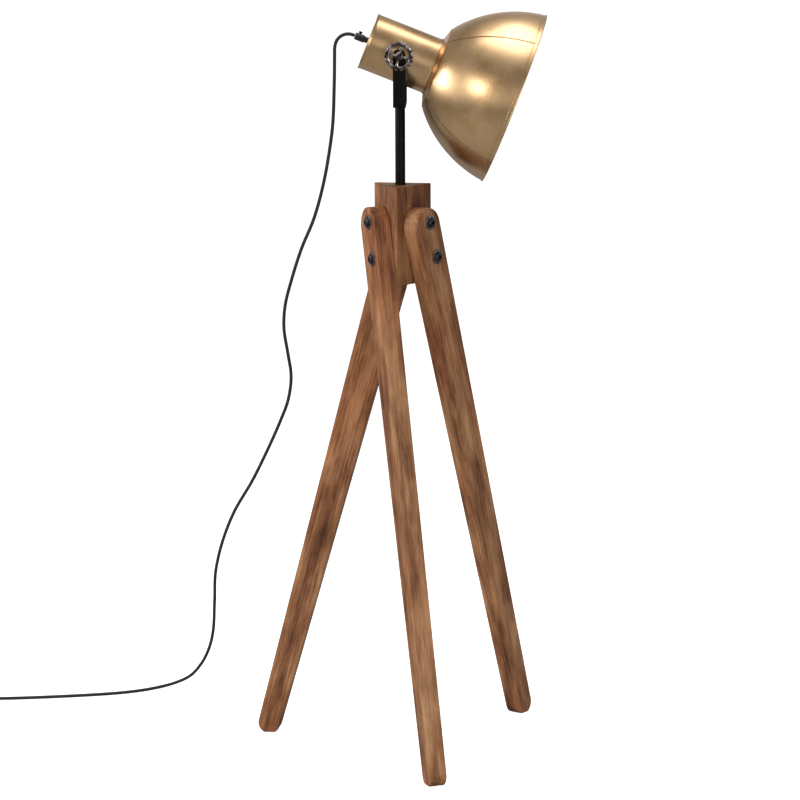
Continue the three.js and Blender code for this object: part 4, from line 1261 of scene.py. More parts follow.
@dataclass
class MainsCord:
    """The braided mains cord with its coil and its flat two-pin plug.

    The coil winds outside, steps in for its inner turns, climbs a layer and steps out again, each
    between two amounts of winding in degrees.
    """

    pivot: Vector
    diameter: float = 5.5
    sides: int = 16
    exit_from_pivot: float = 76.0
    coil_centre: Pair = (-748.0, 287.7)
    coil_outer: float = 33.75
    coil_inner: float = 28.25
    coil_low: float = 2.75
    coil_high: float = 8.25
    coil_turn: float = 1170.0
    coil_step: float = 15.0
    steps_in: Pair = (300.0, 360.0)
    steps_out: Pair = (955.0, 1020.0)
    climbs: Pair = (590.0, 670.0)
    path_step: float = 5.0
    tail_start: float = 21.3
    tail_length: float = 34.0
    plug_axis: float = 6.85
    plug_body: Triple = (34.0, 26.0, 13.7)
    plug_facets: int = 48
    boot_length: float = 22.0
    boot_radius: float = 5.2
    boot_wall: float = 0.6
    boot_steps: int = 22
    groove_depth: float = 0.55
    pin_radius: float = 2.0
    pin_length: float = 19.0
    pin_spacing: float = 18.6
    hang: tuple[Triple, ...] = (
        (-73.5, 0, 1152.7), (-81.2, 0, 1154.1), (-89.1, 0, 1152.6), (-96, 0.1, 1148),
        (-100.7, 0.4, 1141), (-102.6, 1, 1132.5), (-103, 2.2, 1117), (-103.4, 4.8, 1096),
        (-104.4, 9, 1065), (-106.8, 17, 1016), (-110.6, 24, 984), (-122.6, 39, 918),
        (-139.6, 55, 856.5), (-161.9, 71, 802.5), (-179.7, 87, 747.8), (-190.5, 101, 706),
        (-193.5, 113, 667), (-188.2, 126, 623), (-184, 139, 583), (-190, 154, 541),
        (-204.5, 170, 501.5), (-228.5, 191, 446.6), (-255.4, 213, 391), (-287.2, 236, 334.5),
        (-309.6, 258, 277.5), (-324, 282, 219), (-328.4, 305, 160.5), (-333.5, 328, 103),
        (-343, 344, 66), (-357, 352, 38), (-376, 352, 17), (-400, 344, 7), (-430, 326, 3.1),
    )
    run: tuple[Triple, ...] = (
        (-462, 304, 2.9), (-500, 288, 2.9), (-547, 276, 2.9), (-600, 266, 2.9),
        (-650, 258.5, 2.9), (-690, 254.6, 2.9), (-720, 253.95, 2.85),
    )

    @property
    def tail_x(self) -> float:
        """How far aside the cord's end runs."""
        return self.coil_centre[0] - self.coil_outer

    @property
    def tail_end(self) -> float:
        """How far back the cord ends."""
        return self.coil_centre[1] + self.tail_start + self.tail_length

    def exit_point(self) -> Vector:
        """Where the cord leaves the gland, in millimetres from the mast's foot."""
        back = Vector((-math.cos(HEAD_TILT), 0.0, math.sin(HEAD_TILT)))
        return Vector((0, 0, self.pivot.z / MM)) + back * self.exit_from_pivot

    def coil_point(self, progress: float) -> Vector:
        """A point of the winding.

        Args:
            progress: Degrees wound since the cord reached the coil.

        Returns:
            The point, in millimetres from the mast's foot.
        """

        def ease(start: float, end: float) -> float:
            """A smooth share of the way between two amounts of winding."""
            share = min(1.0, max(0.0, (progress - start) / (end - start)))
            return share * share * (3 - 2 * share)

        inward = ease(*self.steps_in) - ease(*self.steps_out)
        radius = self.coil_outer + (self.coil_inner - self.coil_outer) * inward
        height = self.coil_low + (self.coil_high - self.coil_low) * ease(*self.climbs)
        angle = math.radians(-90 - progress)
        return Vector((self.coil_centre[0] + radius * math.cos(angle),
                       self.coil_centre[1] + radius * math.sin(angle), height))

    def route(self) -> list[Vector]:
        """The cord's centre line, from the gland to the plug.

        Returns:
            Its points, in metres.
        """
        way = [self.exit_point(), *map(Vector, self.hang), *map(Vector, self.run)]
        steps = int(self.coil_turn / self.coil_step)
        way += [self.coil_point(self.coil_step * i) for i in range(steps + 1)]
        tail = self.coil_centre[1] + self.tail_start
        drop = self.coil_high - self.plug_axis
        way += [Vector((self.tail_x, self.coil_centre[1] + self.tail_start * share,
                        self.coil_high - drop * share)) for share in (0.35, 0.7, 1.0)]
        way += [Vector((self.tail_x, y, self.plug_axis))
                for y in ((tail + self.tail_end) / 2, self.tail_end)]
        foot = mast_axis()
        return [foot + point * MM for point in Route(way).sampled(self.path_step)]

    def build(self, workshop: Workshop) -> None:
        """Args:
            workshop: Where pieces are made.
        """
        path = self.route()
        cord = self._tube(path, workshop)
        origin = mast_axis() + Vector((self.tail_x, self.tail_end + GAP, self.plug_axis)) * MM
        place = placement(origin, Vector((0, 0, 1)), Vector((1, 0, 0)), Vector((0, 1, 0)))
        plug = workshop.piece("mains_plug", self._plug(), place, Slot.BLACK_PLASTIC, Body.STAND,
                              ["plug_body"], crease=50)
        pins = [self._pin(workshop, place, name, side)
                for name, side in (("plug_pin_a", -1), ("plug_pin_b", 1))]

    def _tube(self, path: Sequence[Vector], workshop: Workshop) -> bpy.types.Object:
        """Makes the cord's tube along its route, with a map for the braid.

        Args:
            path: The centre line in metres.
            workshop: Where pieces are made.

        Returns:
            The cord.
        """
        radius = self.diameter / 2 * MM
        side = (path[1] - path[0]).orthogonal().normalized()
        rings: list[list[Vector]] = []
        run = [0.0]
        for index, point in enumerate(path):
            ahead = path[min(index + 1, len(path) - 1)] - path[max(index - 1, 0)]
            ahead.normalize()
            side = (side - ahead * side.dot(ahead)).normalized()
            other = ahead.cross(side)
            turns = [2 * math.pi * i / self.sides for i in range(self.sides)]
            rings.append([point + (side * math.cos(a) + other * math.sin(a)) * radius
                          for a in turns])
            if index:
                run.append(run[-1] + (point - path[index - 1]).length)
        solid = Solid().stacked(rings)
        cord = workshop.piece("mains_cord", solid, Matrix(), Slot.CORD, None,
                              ["cord_upper", "cord_lower", "cord_coil", "cord_tail"], crease=60)
        layer = cord.data.uv_layers.new(name="braid")
        for face in cord.data.polygons:
            corners = [divmod(v, self.sides) for v in face.vertices]
            wraps = max(c[1] for c in corners) == self.sides - 1
            for loop, (row, column) in zip(face.loop_indices, corners):
                turn = column + (self.sides if wraps and column == 0 else 0)
                layer.data[loop].uv = (turn / self.sides, run[row])
        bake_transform(cord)
        return cord

    def _plug(self) -> Solid:
        """The plug's body with its ribbed, tapered boot, drawn along Z.

        Returns:
            The solid, skinned over sections of (height, half width, half thickness, squareness).
        """
        length, width, thickness = self.plug_body
        stations: list[tuple[float, float, float, float]] = []
        cord_fit = self.diameter / 2 + self.boot_wall
        for step in range(self.boot_steps + 1):
            share = step / self.boot_steps
            grooved = step % 4 in (2, 3) and 1 < step < self.boot_steps - 2
            radius = cord_fit + (self.boot_radius - cord_fit) * share
            radius -= self.groove_depth if grooved else 0.0
            stations.append((self.boot_length * share, radius, radius, 2.0))
        for share, wide, high, power in ((0.12, 0.46, 0.86, 2.2), (0.24, 0.72, 0.95, 2.8),
                                         (0.36, 0.9, 1.0, 3.4), (0.5, 1.0, 1.0, 4.0),
                                         (0.9, 1.0, 1.0, 4.5), (0.97, 0.98, 0.97, 4.5),
                                         (1.0, 0.94, 0.9, 4.5)):
            stations.append((self.boot_length + length * share, width / 2 * wide,
                             thickness / 2 * high, power))
        rings: list[list[Vector]] = []
        for along, half_width, half_height, power in stations:
            ring: list[Vector] = []
            for i in range(self.plug_facets):
                across, up = squared_circle(2 * math.pi * i / self.plug_facets, 2 / power)
                ring.append(Vector((up * half_height, across * half_width, along)))
            rings.append(ring)
        return Solid().stacked(rings)

    def _pin(self, workshop: Workshop, place: Matrix, name: str, side: int) -> bpy.types.Object:
        """Makes one round pin with a rounded tip.

        Args:
            workshop: Where pieces are made.
            place: The plug's place.
            name: The pin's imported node.
            side: -1 or 1, the side of the plug it is on.

        Returns:
            The pin.
        """
        start = self.boot_length + self.plug_body[0] + GAP
        end = start + self.pin_length
        r = self.pin_radius
        tip = [(r * math.cos(a), end - r * (1 - math.sin(a)))
               for a in (math.radians(18 * i) for i in range(5))]
        solid = Solid().turned([(r, start), *tip], 32)
        solid.moved(Matrix.Translation((0, side * self.pin_spacing / 2, 0)))
        return workshop.piece(f"round_{name}", solid, place, Slot.PIN, Body.STAND, [name])


# ---- tripod


@dataclass
class LegLay:
    """Where one leg stands, and what part of the log it is cut from.

    Its hub face looks towards face_degrees, and its middle line is shifted sideways there.
    """

    name: str
    face_degrees: float
    lean_degrees: float
    shift: float
    cut_at: float


@dataclass
class Tripod:
    """The triangular hub and its three bolted legs."""

    hub_side: float = 95.0
    hub_height: float = 156.5
    hub_top: float = 916.0
    hub_edge: float = 3.0
    hub_ease: float = 0.8
    mast_hole: float = 8.3
    ledge: float = 15.0
    recess_depth: float = 20.0
    recess_radius: float = 13.5
    leg_top: float = 881.0
    top_radius: float = 30.2
    foot_radius: float = 18.2
    foot_flat: float = 17.0
    leg_thickness: float = 27.5
    leg_gap: float = 0.5
    leg_ease: float = 1.6
    bolt_down: Pair = (25.0, 84.0)
    bolt_aside: float = 6.0
    bolt_radius: float = 4.0
    bolt_head: float = 8.0
    bolt_height: float = 4.4
    bolt_edge: float = 1.0
    socket_flats: float = 5.0
    socket_depth: float = 2.4
    bolt_in_hub: float = 14.0
    washer_radius: float = 11.8
    washer_thickness: float = 1.6
    insert_radius: float = 6.0
    insert_length: float = 15.0
    insert_room: float = 0.6
    small_ease: float = 0.3
    washer_ease: float = 0.35
    shank_chamfer: float = 0.8
    hub_light: Tint = colour(176, 128, 88)
    hub_middle: Tint = colour(128, 84, 54)
    hub_dark: Tint = colour(72, 42, 26)
    legs: tuple[LegLay, ...] = (
        LegLay("right", -37.2, 17.4, 6.0, 0.11), LegLay("rear", 82.8, 15.3, 2.0, 0.37),
        LegLay("front", 202.8, 16.2, 2.0, 0.63),
    )

    @property
    def inradius(self) -> float:
        """From the mast's axis to a face of the hub."""
        return self.hub_side / (2 * math.sqrt(3))

    @property
    def outer_face(self) -> float:
        """From the mast's axis to a leg's outer face."""
        return self.inradius + self.leg_gap + self.leg_thickness

    def on_line(self, leg: LegLay, height: float) -> Pair:
        """A point on a leg's middle line, as (sideways, height) in its face's plane."""
        below = self.hub_top - self.hub_height / 2 - height
        return leg.shift + below * math.tan(math.radians(leg.lean_degrees)), height

    def face_place(self, leg: LegLay) -> Matrix:
        """The place of a leg's face: X sideways, Y up, Z out of the hub.

        Args:
            leg: The leg.

        Returns:
            The place.
        """
        turn = math.radians(leg.face_degrees)
        out = Vector((math.cos(turn), math.sin(turn), 0))
        aside = Vector((-math.sin(turn), math.cos(turn), 0))
        return placement(mast_axis(), aside, Vector((0, 0, 1)), out)

    def bolt_places(self, leg: LegLay) -> list[Pair]:
        """Where a leg's two bolts pass through, as (sideways, height).

        Args:
            leg: The leg.

        Returns:
            A point for each bolt.
        """
        lean = math.radians(leg.lean_degrees)
        places: list[Pair] = []
        for down in self.bolt_down:
            side, height = self.on_line(leg, self.leg_top - down * math.cos(lean))
            places.append((side + self.bolt_aside * math.cos(lean),
                           height + self.bolt_aside * math.sin(lean)))
        return places

    def build(self, workshop: Workshop) -> None:
        """Makes the hub, the legs, their bolts and washers.

        Args:
            workshop: Where pieces are made.
        """
        self._hub(workshop)
        for leg in self.legs:
            self._leg(workshop, leg)
            for place_name, spot in zip(("upper", "lower"), self.bolt_places(leg)):
                self._fastener(workshop, leg, place_name, spot)

    def dress(self, workshop: Workshop, frame: dict) -> None:
        """Dresses the threaded inserts, which stay as imported."""
        names = [f"insert_{leg.name}_{end}" for leg in self.legs for end in ("upper", "lower")]
        workshop.dress(frame, Slot.ZINC, *names)

    def _hub(self, workshop: Workshop) -> None:
        """Makes the hub: an upright triangular block with its bores and pockets.

        Args:
            workshop: Where pieces are made.
        """
        corner = self.hub_side / math.sqrt(3) - 2 * self.hub_edge
        first = self.legs[0].face_degrees
        outline: list[Pair] = []
        for i in range(3):
            towards = first + 60 + 120 * i
            centre = (corner * math.cos(math.radians(towards)),
                      corner * math.sin(math.radians(towards)))
            outline += arc(centre, self.hub_edge, towards - 60, towards + 60, 8)
        low = self.hub_top - self.hub_height
        block = Solid().slab(outline, low, self.hub_top, self.hub_ease)
        ledge_top = low + self.recess_depth + self.ledge
        tools = [rod(self.mast_hole, ledge_top, self.hub_top + 1, FINE),
                 rod(self.bolt_radius + GAP, low, ledge_top + 1, COARSE),
                 rod(self.recess_radius, low - 1, low + self.recess_depth, FINE)]
        place = upright(mast_axis())
        pocket_end = self.inradius - self.insert_length - self.insert_room
        for leg in self.legs:
            for side, height in self.bolt_places(leg):
                pocket = rod(self.insert_radius + GAP, pocket_end, self.inradius + 1, COARSE)
                pocket.moved(Matrix.Translation((side, height, 0)))
                tools.append(pocket.moved(place.inverted() @ self.face_place(leg)))
        block.merged(Merge.CUT, *tools)
        turn = Matrix.Rotation(math.radians(25), 4, "Z")
        wood = OiledWood(mast_axis() + Vector((0.075, 0.05, 0.3)), turn, self.hub_light,
                         self.hub_middle, self.hub_dark).material("hub_wood")
        workshop.piece("hub", block, place, Slot.WOOD, Body.STAND, ["hub_block"], wood)

    def _leg_outline(self, leg: LegLay) -> list[Pair]:
        """A leg's broad side: a round top and foot joined by straight sides, flat on the floor.

        Args:
            leg: The leg.

        Returns:
            Corners in counter-clockwise order.
        """
        lean = math.radians(leg.lean_degrees)
        foot_height = math.sqrt(self.foot_radius ** 2 - (self.foot_flat / 2) ** 2)
        top = Vector(self.on_line(leg, self.leg_top - self.top_radius * math.cos(lean)))
        foot = Vector(self.on_line(leg, foot_height))
        down = math.degrees(math.atan2(foot.y - top.y, foot.x - top.x))
        slope = (self.top_radius - self.foot_radius) / (top - foot).length
        tangent = 90 - math.degrees(math.asin(slope))
        flat = math.degrees(math.asin(foot_height / self.foot_radius))
        outline = arc((foot.x, foot.y), self.foot_radius, -flat, down + tangent, 14)
        outline += arc((top.x, top.y), self.top_radius, down + tangent, down - tangent + 360, 40)
        outline += arc((foot.x, foot.y), self.foot_radius, down - tangent + 360, 180 + flat, 14)
        return outline

    def _leg(self, workshop: Workshop, leg: LegLay) -> None:
        """Makes one leg with its two bolt holes.

        Args:
            workshop: Where pieces are made.
            leg: The leg.
        """
        inner = self.inradius + self.leg_gap
        bar = Solid().slab(self._leg_outline(leg), inner, self.outer_face, self.leg_ease, 4)
        holes = [rod(self.bolt_radius + GAP, inner - 1, self.outer_face + 1, COARSE)
                 .moved(Matrix.Translation((side, height, 0)))
                 for side, height in self.bolt_places(leg)]
        bar.merged(Merge.CUT, *holes)
        place = self.face_place(leg)
        turn = place.to_3x3().normalized()
        lean = math.radians(leg.lean_degrees)
        grain = turn @ Vector((-math.sin(lean), math.cos(lean), 0))
        through = turn @ Vector((0, 0, 1))
        axes = Matrix((through, grain.cross(through), grain)).transposed()
        pith = (mast_axis() + through * (0.045 + 0.12 * leg.cut_at)
                + axes @ Vector((0, 0.05, leg.cut_at)))
        wood = OiledWood(pith, axes).material(f"leg_{leg.name}_wood")
        workshop.piece(f"leg_bar_{leg.name}", bar, place, Slot.WOOD, Body.STAND,
                       [f"leg_{leg.name}"], wood)

    def _fastener(self, workshop: Workshop, leg: LegLay, end: str, spot: Pair) -> None:
        """Makes one bolt and its washer.

        Args:
            workshop: Where pieces are made.
            leg: The leg.
            end: "upper" or "lower".
            spot: Where it goes through the leg.
        """
        place = self.face_place(leg) @ Matrix.Translation((*spot, 0))
        low = self.outer_face + GAP
        washer = eased_ring(self.bolt_radius + GAP, self.washer_radius, low,
                            low + self.washer_thickness, self.washer_ease, FINE)
        # The washers wear the lighter steel, a painted highlight.
        workshop.piece(f"flat_washer_{leg.name}_{end}", washer, place, Slot.DARK_STEEL, Body.STAND,
                       [f"washer_{leg.name}_{end}"], workshop.rack.washer)
        head = low + self.washer_thickness + GAP
        key = hexagon_reach(self.socket_flats)
        dome = [(self.bolt_head * math.sin(math.radians(a)), head + self.bolt_edge
                 + (self.bolt_height - self.bolt_edge) * math.cos(math.radians(a)))
                for a in (90, 82, 74, 66, 58, 50, 42, 34, 26)]
        top = dome[-1][1]
        shank = self.inradius - self.bolt_in_hub
        chamfer, ease = self.shank_chamfer, self.small_ease
        outline = [(self.bolt_radius - chamfer, shank), (self.bolt_radius, shank + chamfer),
                   (self.bolt_radius, head), (self.bolt_head - ease, head),
                   (self.bolt_head, head + ease), *dome,
                   (-1.0, top), (-1.0, top - self.socket_depth)]

        def socket(radius: float, height: float, angle: float) -> float:
            """Turns the innermost points into the hexagon socket."""
            return key(angle) + 1.0 if radius < 0 else 0.0

        bolt = Solid().turned(outline, FINE, relief=socket)
        workshop.piece(f"button_bolt_{leg.name}_{end}", bolt, place, Slot.DARK_STEEL, Body.STAND,
                       [f"bolt_{leg.name}_{end}"])


# ---- mast and yoke


@dataclass
class Mast:
    """The steel mast and the yoke bolted on its top."""

    pivot: Vector
    radius: float = 8.0
    wall: float = 1.6
    ease: float = 0.4
    yoke_drop: float = 82.0
    bar_thickness: float = 3.0
    bar_width: float = 20.0
    bar_ease: float = 0.5
    bend_radius: float = 7.0
    arm_inner: float = 49.6
    stud_radius: float = 4.0
    screw_radius: float = 4.0
    screw_flats: float = 13.0
    screw_height: float = 5.3
    screw_chamfer: float = 0.7
    washer_radius: float = 8.5
    washer_thickness: float = 2.0
    washer_ease: float = 0.35
    cut_reach: float = 60.0

    def build(self, workshop: Workshop) -> None:
        """Makes the mast's tube, the yoke, its screw and its washer.

        Args:
            workshop: Where pieces are made.
        """
        low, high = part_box("mast_tube")
        place = upright(mast_axis())
        tube = eased_ring(self.radius - self.wall, self.radius, low.z / MM, high.z / MM,
                          self.ease)
        workshop.piece("mast", tube, place, Slot.BLACK_STEEL, Body.STAND, ["mast_tube"])
        self._yoke(workshop)
        underside = self.pivot.z / MM - self.yoke_drop
        seat = underside + self.bar_thickness + GAP
        washer = eased_ring(self.screw_radius + GAP, self.washer_radius, seat,
                            seat + self.washer_thickness, self.washer_ease, FINE)
        workshop.piece("yoke_flat_washer", washer, place, Slot.ZINC, Body.STAND, ["yoke_washer"])
        self._screw(workshop, place, seat + self.washer_thickness + GAP)

    def dress(self, workshop: Workshop, frame: dict) -> None:
        """Dresses the plugs in the tube and the screw and washer below the hub."""
        workshop.dress(frame, Slot.ZINC, "mast_foot_plug", "mast_top_plug", "mast_foot_washer",
                       "mast_foot_screw")

    def _yoke(self, workshop: Workshop) -> None:
        """Makes the bent flat bar with its round arm ends and its holes.

        Args:
            workshop: Where pieces are made.
        """
        half_gap = self.arm_inner + self.bar_thickness / 2
        floor = -self.yoke_drop + self.bar_thickness / 2
        bend = self.bend_radius - self.bar_thickness / 2
        corner = half_gap - bend
        arm: list[tuple[Vector, Vector, float]] = []
        end_radius = self.bar_width / 2
        for step in range(13):
            angle = math.radians(88 - 88 * step / 12)
            arm.append((Vector((0, half_gap, end_radius * math.sin(angle))), Vector((0, 1, 0)),
                        end_radius * math.cos(angle)))
        for step in range(9):
            angle = math.radians(-90 * step / 8)
            outward = Vector((0, math.cos(angle), math.sin(angle)))
            arm.append((Vector((0, corner, floor + bend)) + outward * bend, outward, end_radius))
        other = [(Vector((0, -p.y, p.z)), Vector((0, -n.y, n.z)), w) for p, n, w in reversed(arm)]
        rings = [self._section(*station) for station in [*arm, *other]]
        bar = Solid().stacked(rings)
        across = Matrix.Rotation(math.radians(90), 4, "X")
        studs = rod(self.stud_radius + GAP, -self.cut_reach, self.cut_reach).moved(across)
        screw = rod(self.screw_radius + GAP, -self.yoke_drop - 1, -self.yoke_drop + 10)
        bar.merged(Merge.CUT, studs, screw)
        workshop.piece("yoke_bar", bar, upright(self.pivot), Slot.BLACK_STEEL, Body.STAND,
                       ["yoke"])

    def _section(self, centre: Vector, outward: Vector, half_width: float) -> list[Vector]:
        """The bar's section with eased edges.

        Args:
            centre: The middle of the section.
            outward: The direction across the bar's thickness.
            half_width: Half of the bar's width there.

        Returns:
            The section's ring.
        """
        half = self.bar_thickness / 2
        ease = min(self.bar_ease, half_width * 0.5)
        corners = [(half_width - ease, half - ease, 0), (-half_width + ease, half - ease, 90),
                   (-half_width + ease, -half + ease, 180), (half_width - ease, -half + ease, 270)]
        ring: list[Vector] = []
        for x, t, start in corners:
            for px, pt in arc((x, t), ease, start, start + 90, 3):
                ring.append(centre + Vector((px, 0, 0)) + outward * pt)
        return ring

    def _screw(self, workshop: Workshop, place: Matrix, seat: float) -> None:
        """Makes the hexagon screw that holds the yoke on the mast.

        Args:
            workshop: Where pieces are made.
            place: The mast's place.
            seat: Height of the head's underside.
        """
        key = hexagon_reach(self.screw_flats)
        top = seat + self.screw_height
        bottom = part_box("yoke_screw")[0].z / MM

        def head(radius: float, height: float, angle: float) -> float:
            """Turns the head's points into a hexagon with a turned chamfer on top."""
            return min(key(angle), -radius) - radius if radius < 0 else 0.0

        outline = [(self.screw_radius - self.screw_chamfer, bottom),
                   (self.screw_radius, bottom + self.screw_chamfer), (self.screw_radius, seat),
                   (-9.0, seat), (-9.0, top - 0.9), (-6.6, top)]
        screw = Solid().turned(outline, FINE, relief=head)
        workshop.piece("yoke_hex_screw", screw, place, Slot.BLACK_STEEL, Body.STAND, ["yoke_screw"])


@dataclass
class Handwheel:
    """A cast clamp handwheel with a fluted rim and four spokes."""

    side: Side
    pivot: Vector
    boss_face: float = 52.9
    radius: float = 23.2
    flutes: int = 18
    flute_depth: float = 2.2
    rim_inner: float = 15.5
    rim_thickness: float = 8.0
    rim_rise: float = 3.0
    boss_radius: float = 6.8
    boss_length: float = 13.0
    spoke_width: float = 4.4
    spoke_thickness: float = 3.6
    turn_degrees: float = -15.0
    bore_radius: float = 4.3
    bore_depth: float = 10.0
    rim_ease: float = 1.5
    rim_web: float = 3.0
    flute_width: float = 0.8
    spoke_count: int = 4
    spoke_steps: int = 8
    spoke_root: float = 3.0
    spoke_reach: float = 13.7
    spoke_flare: float = 0.35
    spoke_facets: int = 20
    spoke_squareness: float = 0.7

    def build(self, workshop: Workshop) -> None:
        """Makes the wheel out of its rim, boss and spokes.

        Args:
            workshop: Where pieces are made.
        """
        wheel = self._rim().merged(Merge.ADD, self._boss(), *self._spokes())
        wheel.merged(Merge.CUT, rod(self.bore_radius, -1, self.bore_depth))
        out = Vector((0, float(self.side.value), 0))
        across = Vector((1, 0, 0))
        place = placement(self.pivot, across, out.cross(across), out)
        place = place @ Matrix.Translation((0, 0, self.boss_face))
        side = self.side.name.lower()
        workshop.piece(f"clamp_wheel_{side}", wheel, place, Slot.GUNMETAL,
                       Body(f"handwheel_{side}_body"), [f"handwheel_{side}"], crease=40)

    def _rim(self) -> Solid:
        """The fluted rim: a rounded section, with finger flutes cut in its outside.

        Returns:
            The rim.
        """
        ease = self.rim_ease
        outer, inner = self.radius - ease, self.rim_inner + ease
        low, high = self.rim_rise + ease, self.rim_rise + self.rim_thickness - ease
        section: list[Pair] = []
        for centre, start in (((outer, low), -90), ((outer, high), 0), ((inner, high), 90),
                              ((inner, low), 180)):
            section += arc(centre, ease, start, start + 90, 4)

        def flute(radius: float, height: float, angle: float) -> float:
            """How far the flutes pull the outside in.

            Args:
                radius: A point's radius.
                height: Its height, not used.
                angle: Its angle in radians.

            Returns:
                What is added to the radius.
            """
            root = self.rim_inner + self.rim_web
            share = max(0.0, (radius - root) / (self.radius - root))
            wave = abs(math.cos(self.flutes * angle / 2)) ** self.flute_width
            return -self.flute_depth * (1 - wave) * share

        return Solid().turned(section, self.flutes * 12, loop=True, relief=flute)

    def _boss(self) -> Solid:
        """The boss, with a rounded front and a shallow dimple.

        Returns:
            The boss.
        """
        r, length = self.boss_radius, self.boss_length
        return Solid().turned([(r - 0.5, 0), (r, 0.5), (r, length - 2.4), (r - 0.6, length - 1.0),
                               (r - 2, length), (r - 3.2, length), (r - 4.0, length - 0.8)], FINE)

    def _spokes(self) -> list[Solid]:
        """The spokes, a little wider at the boss and the rim.

        Returns:
            One solid for each.
        """
        spokes: list[Solid] = []
        middle = self.rim_rise + self.rim_thickness / 2
        for index in range(self.spoke_count):
            rings: list[list[Vector]] = []
            for step in range(self.spoke_steps + 1):
                share = step / self.spoke_steps
                reach = self.spoke_root + self.spoke_reach * share
                flare = 1 + self.spoke_flare * (2 * share - 1) ** 4
                ring = [Vector((x, reach, z)) for x, z in self._spoke_section(flare, middle)]
                rings.append(ring)
            spoke = Solid().stacked(rings)
            turn = math.radians(self.turn_degrees + 360 / self.spoke_count * index)
            spokes.append(spoke.moved(Matrix.Rotation(turn, 4, "Z")))
        return spokes

    def _spoke_section(self, flare: float, middle: float) -> list[Pair]:
        """A spoke's rounded section.

        Args:
            flare: How much wider it is than its middle.
            middle: Height of its middle.

        Returns:
            Points as (sideways, height).
        """
        points: list[Pair] = []
        for i in range(self.spoke_facets):
            across, up = squared_circle(2 * math.pi * i / self.spoke_facets, self.spoke_squareness)
            points.append((across * self.spoke_width / 2 * flare,
                           middle + up * self.spoke_thickness / 2))
        return points


# ---- head


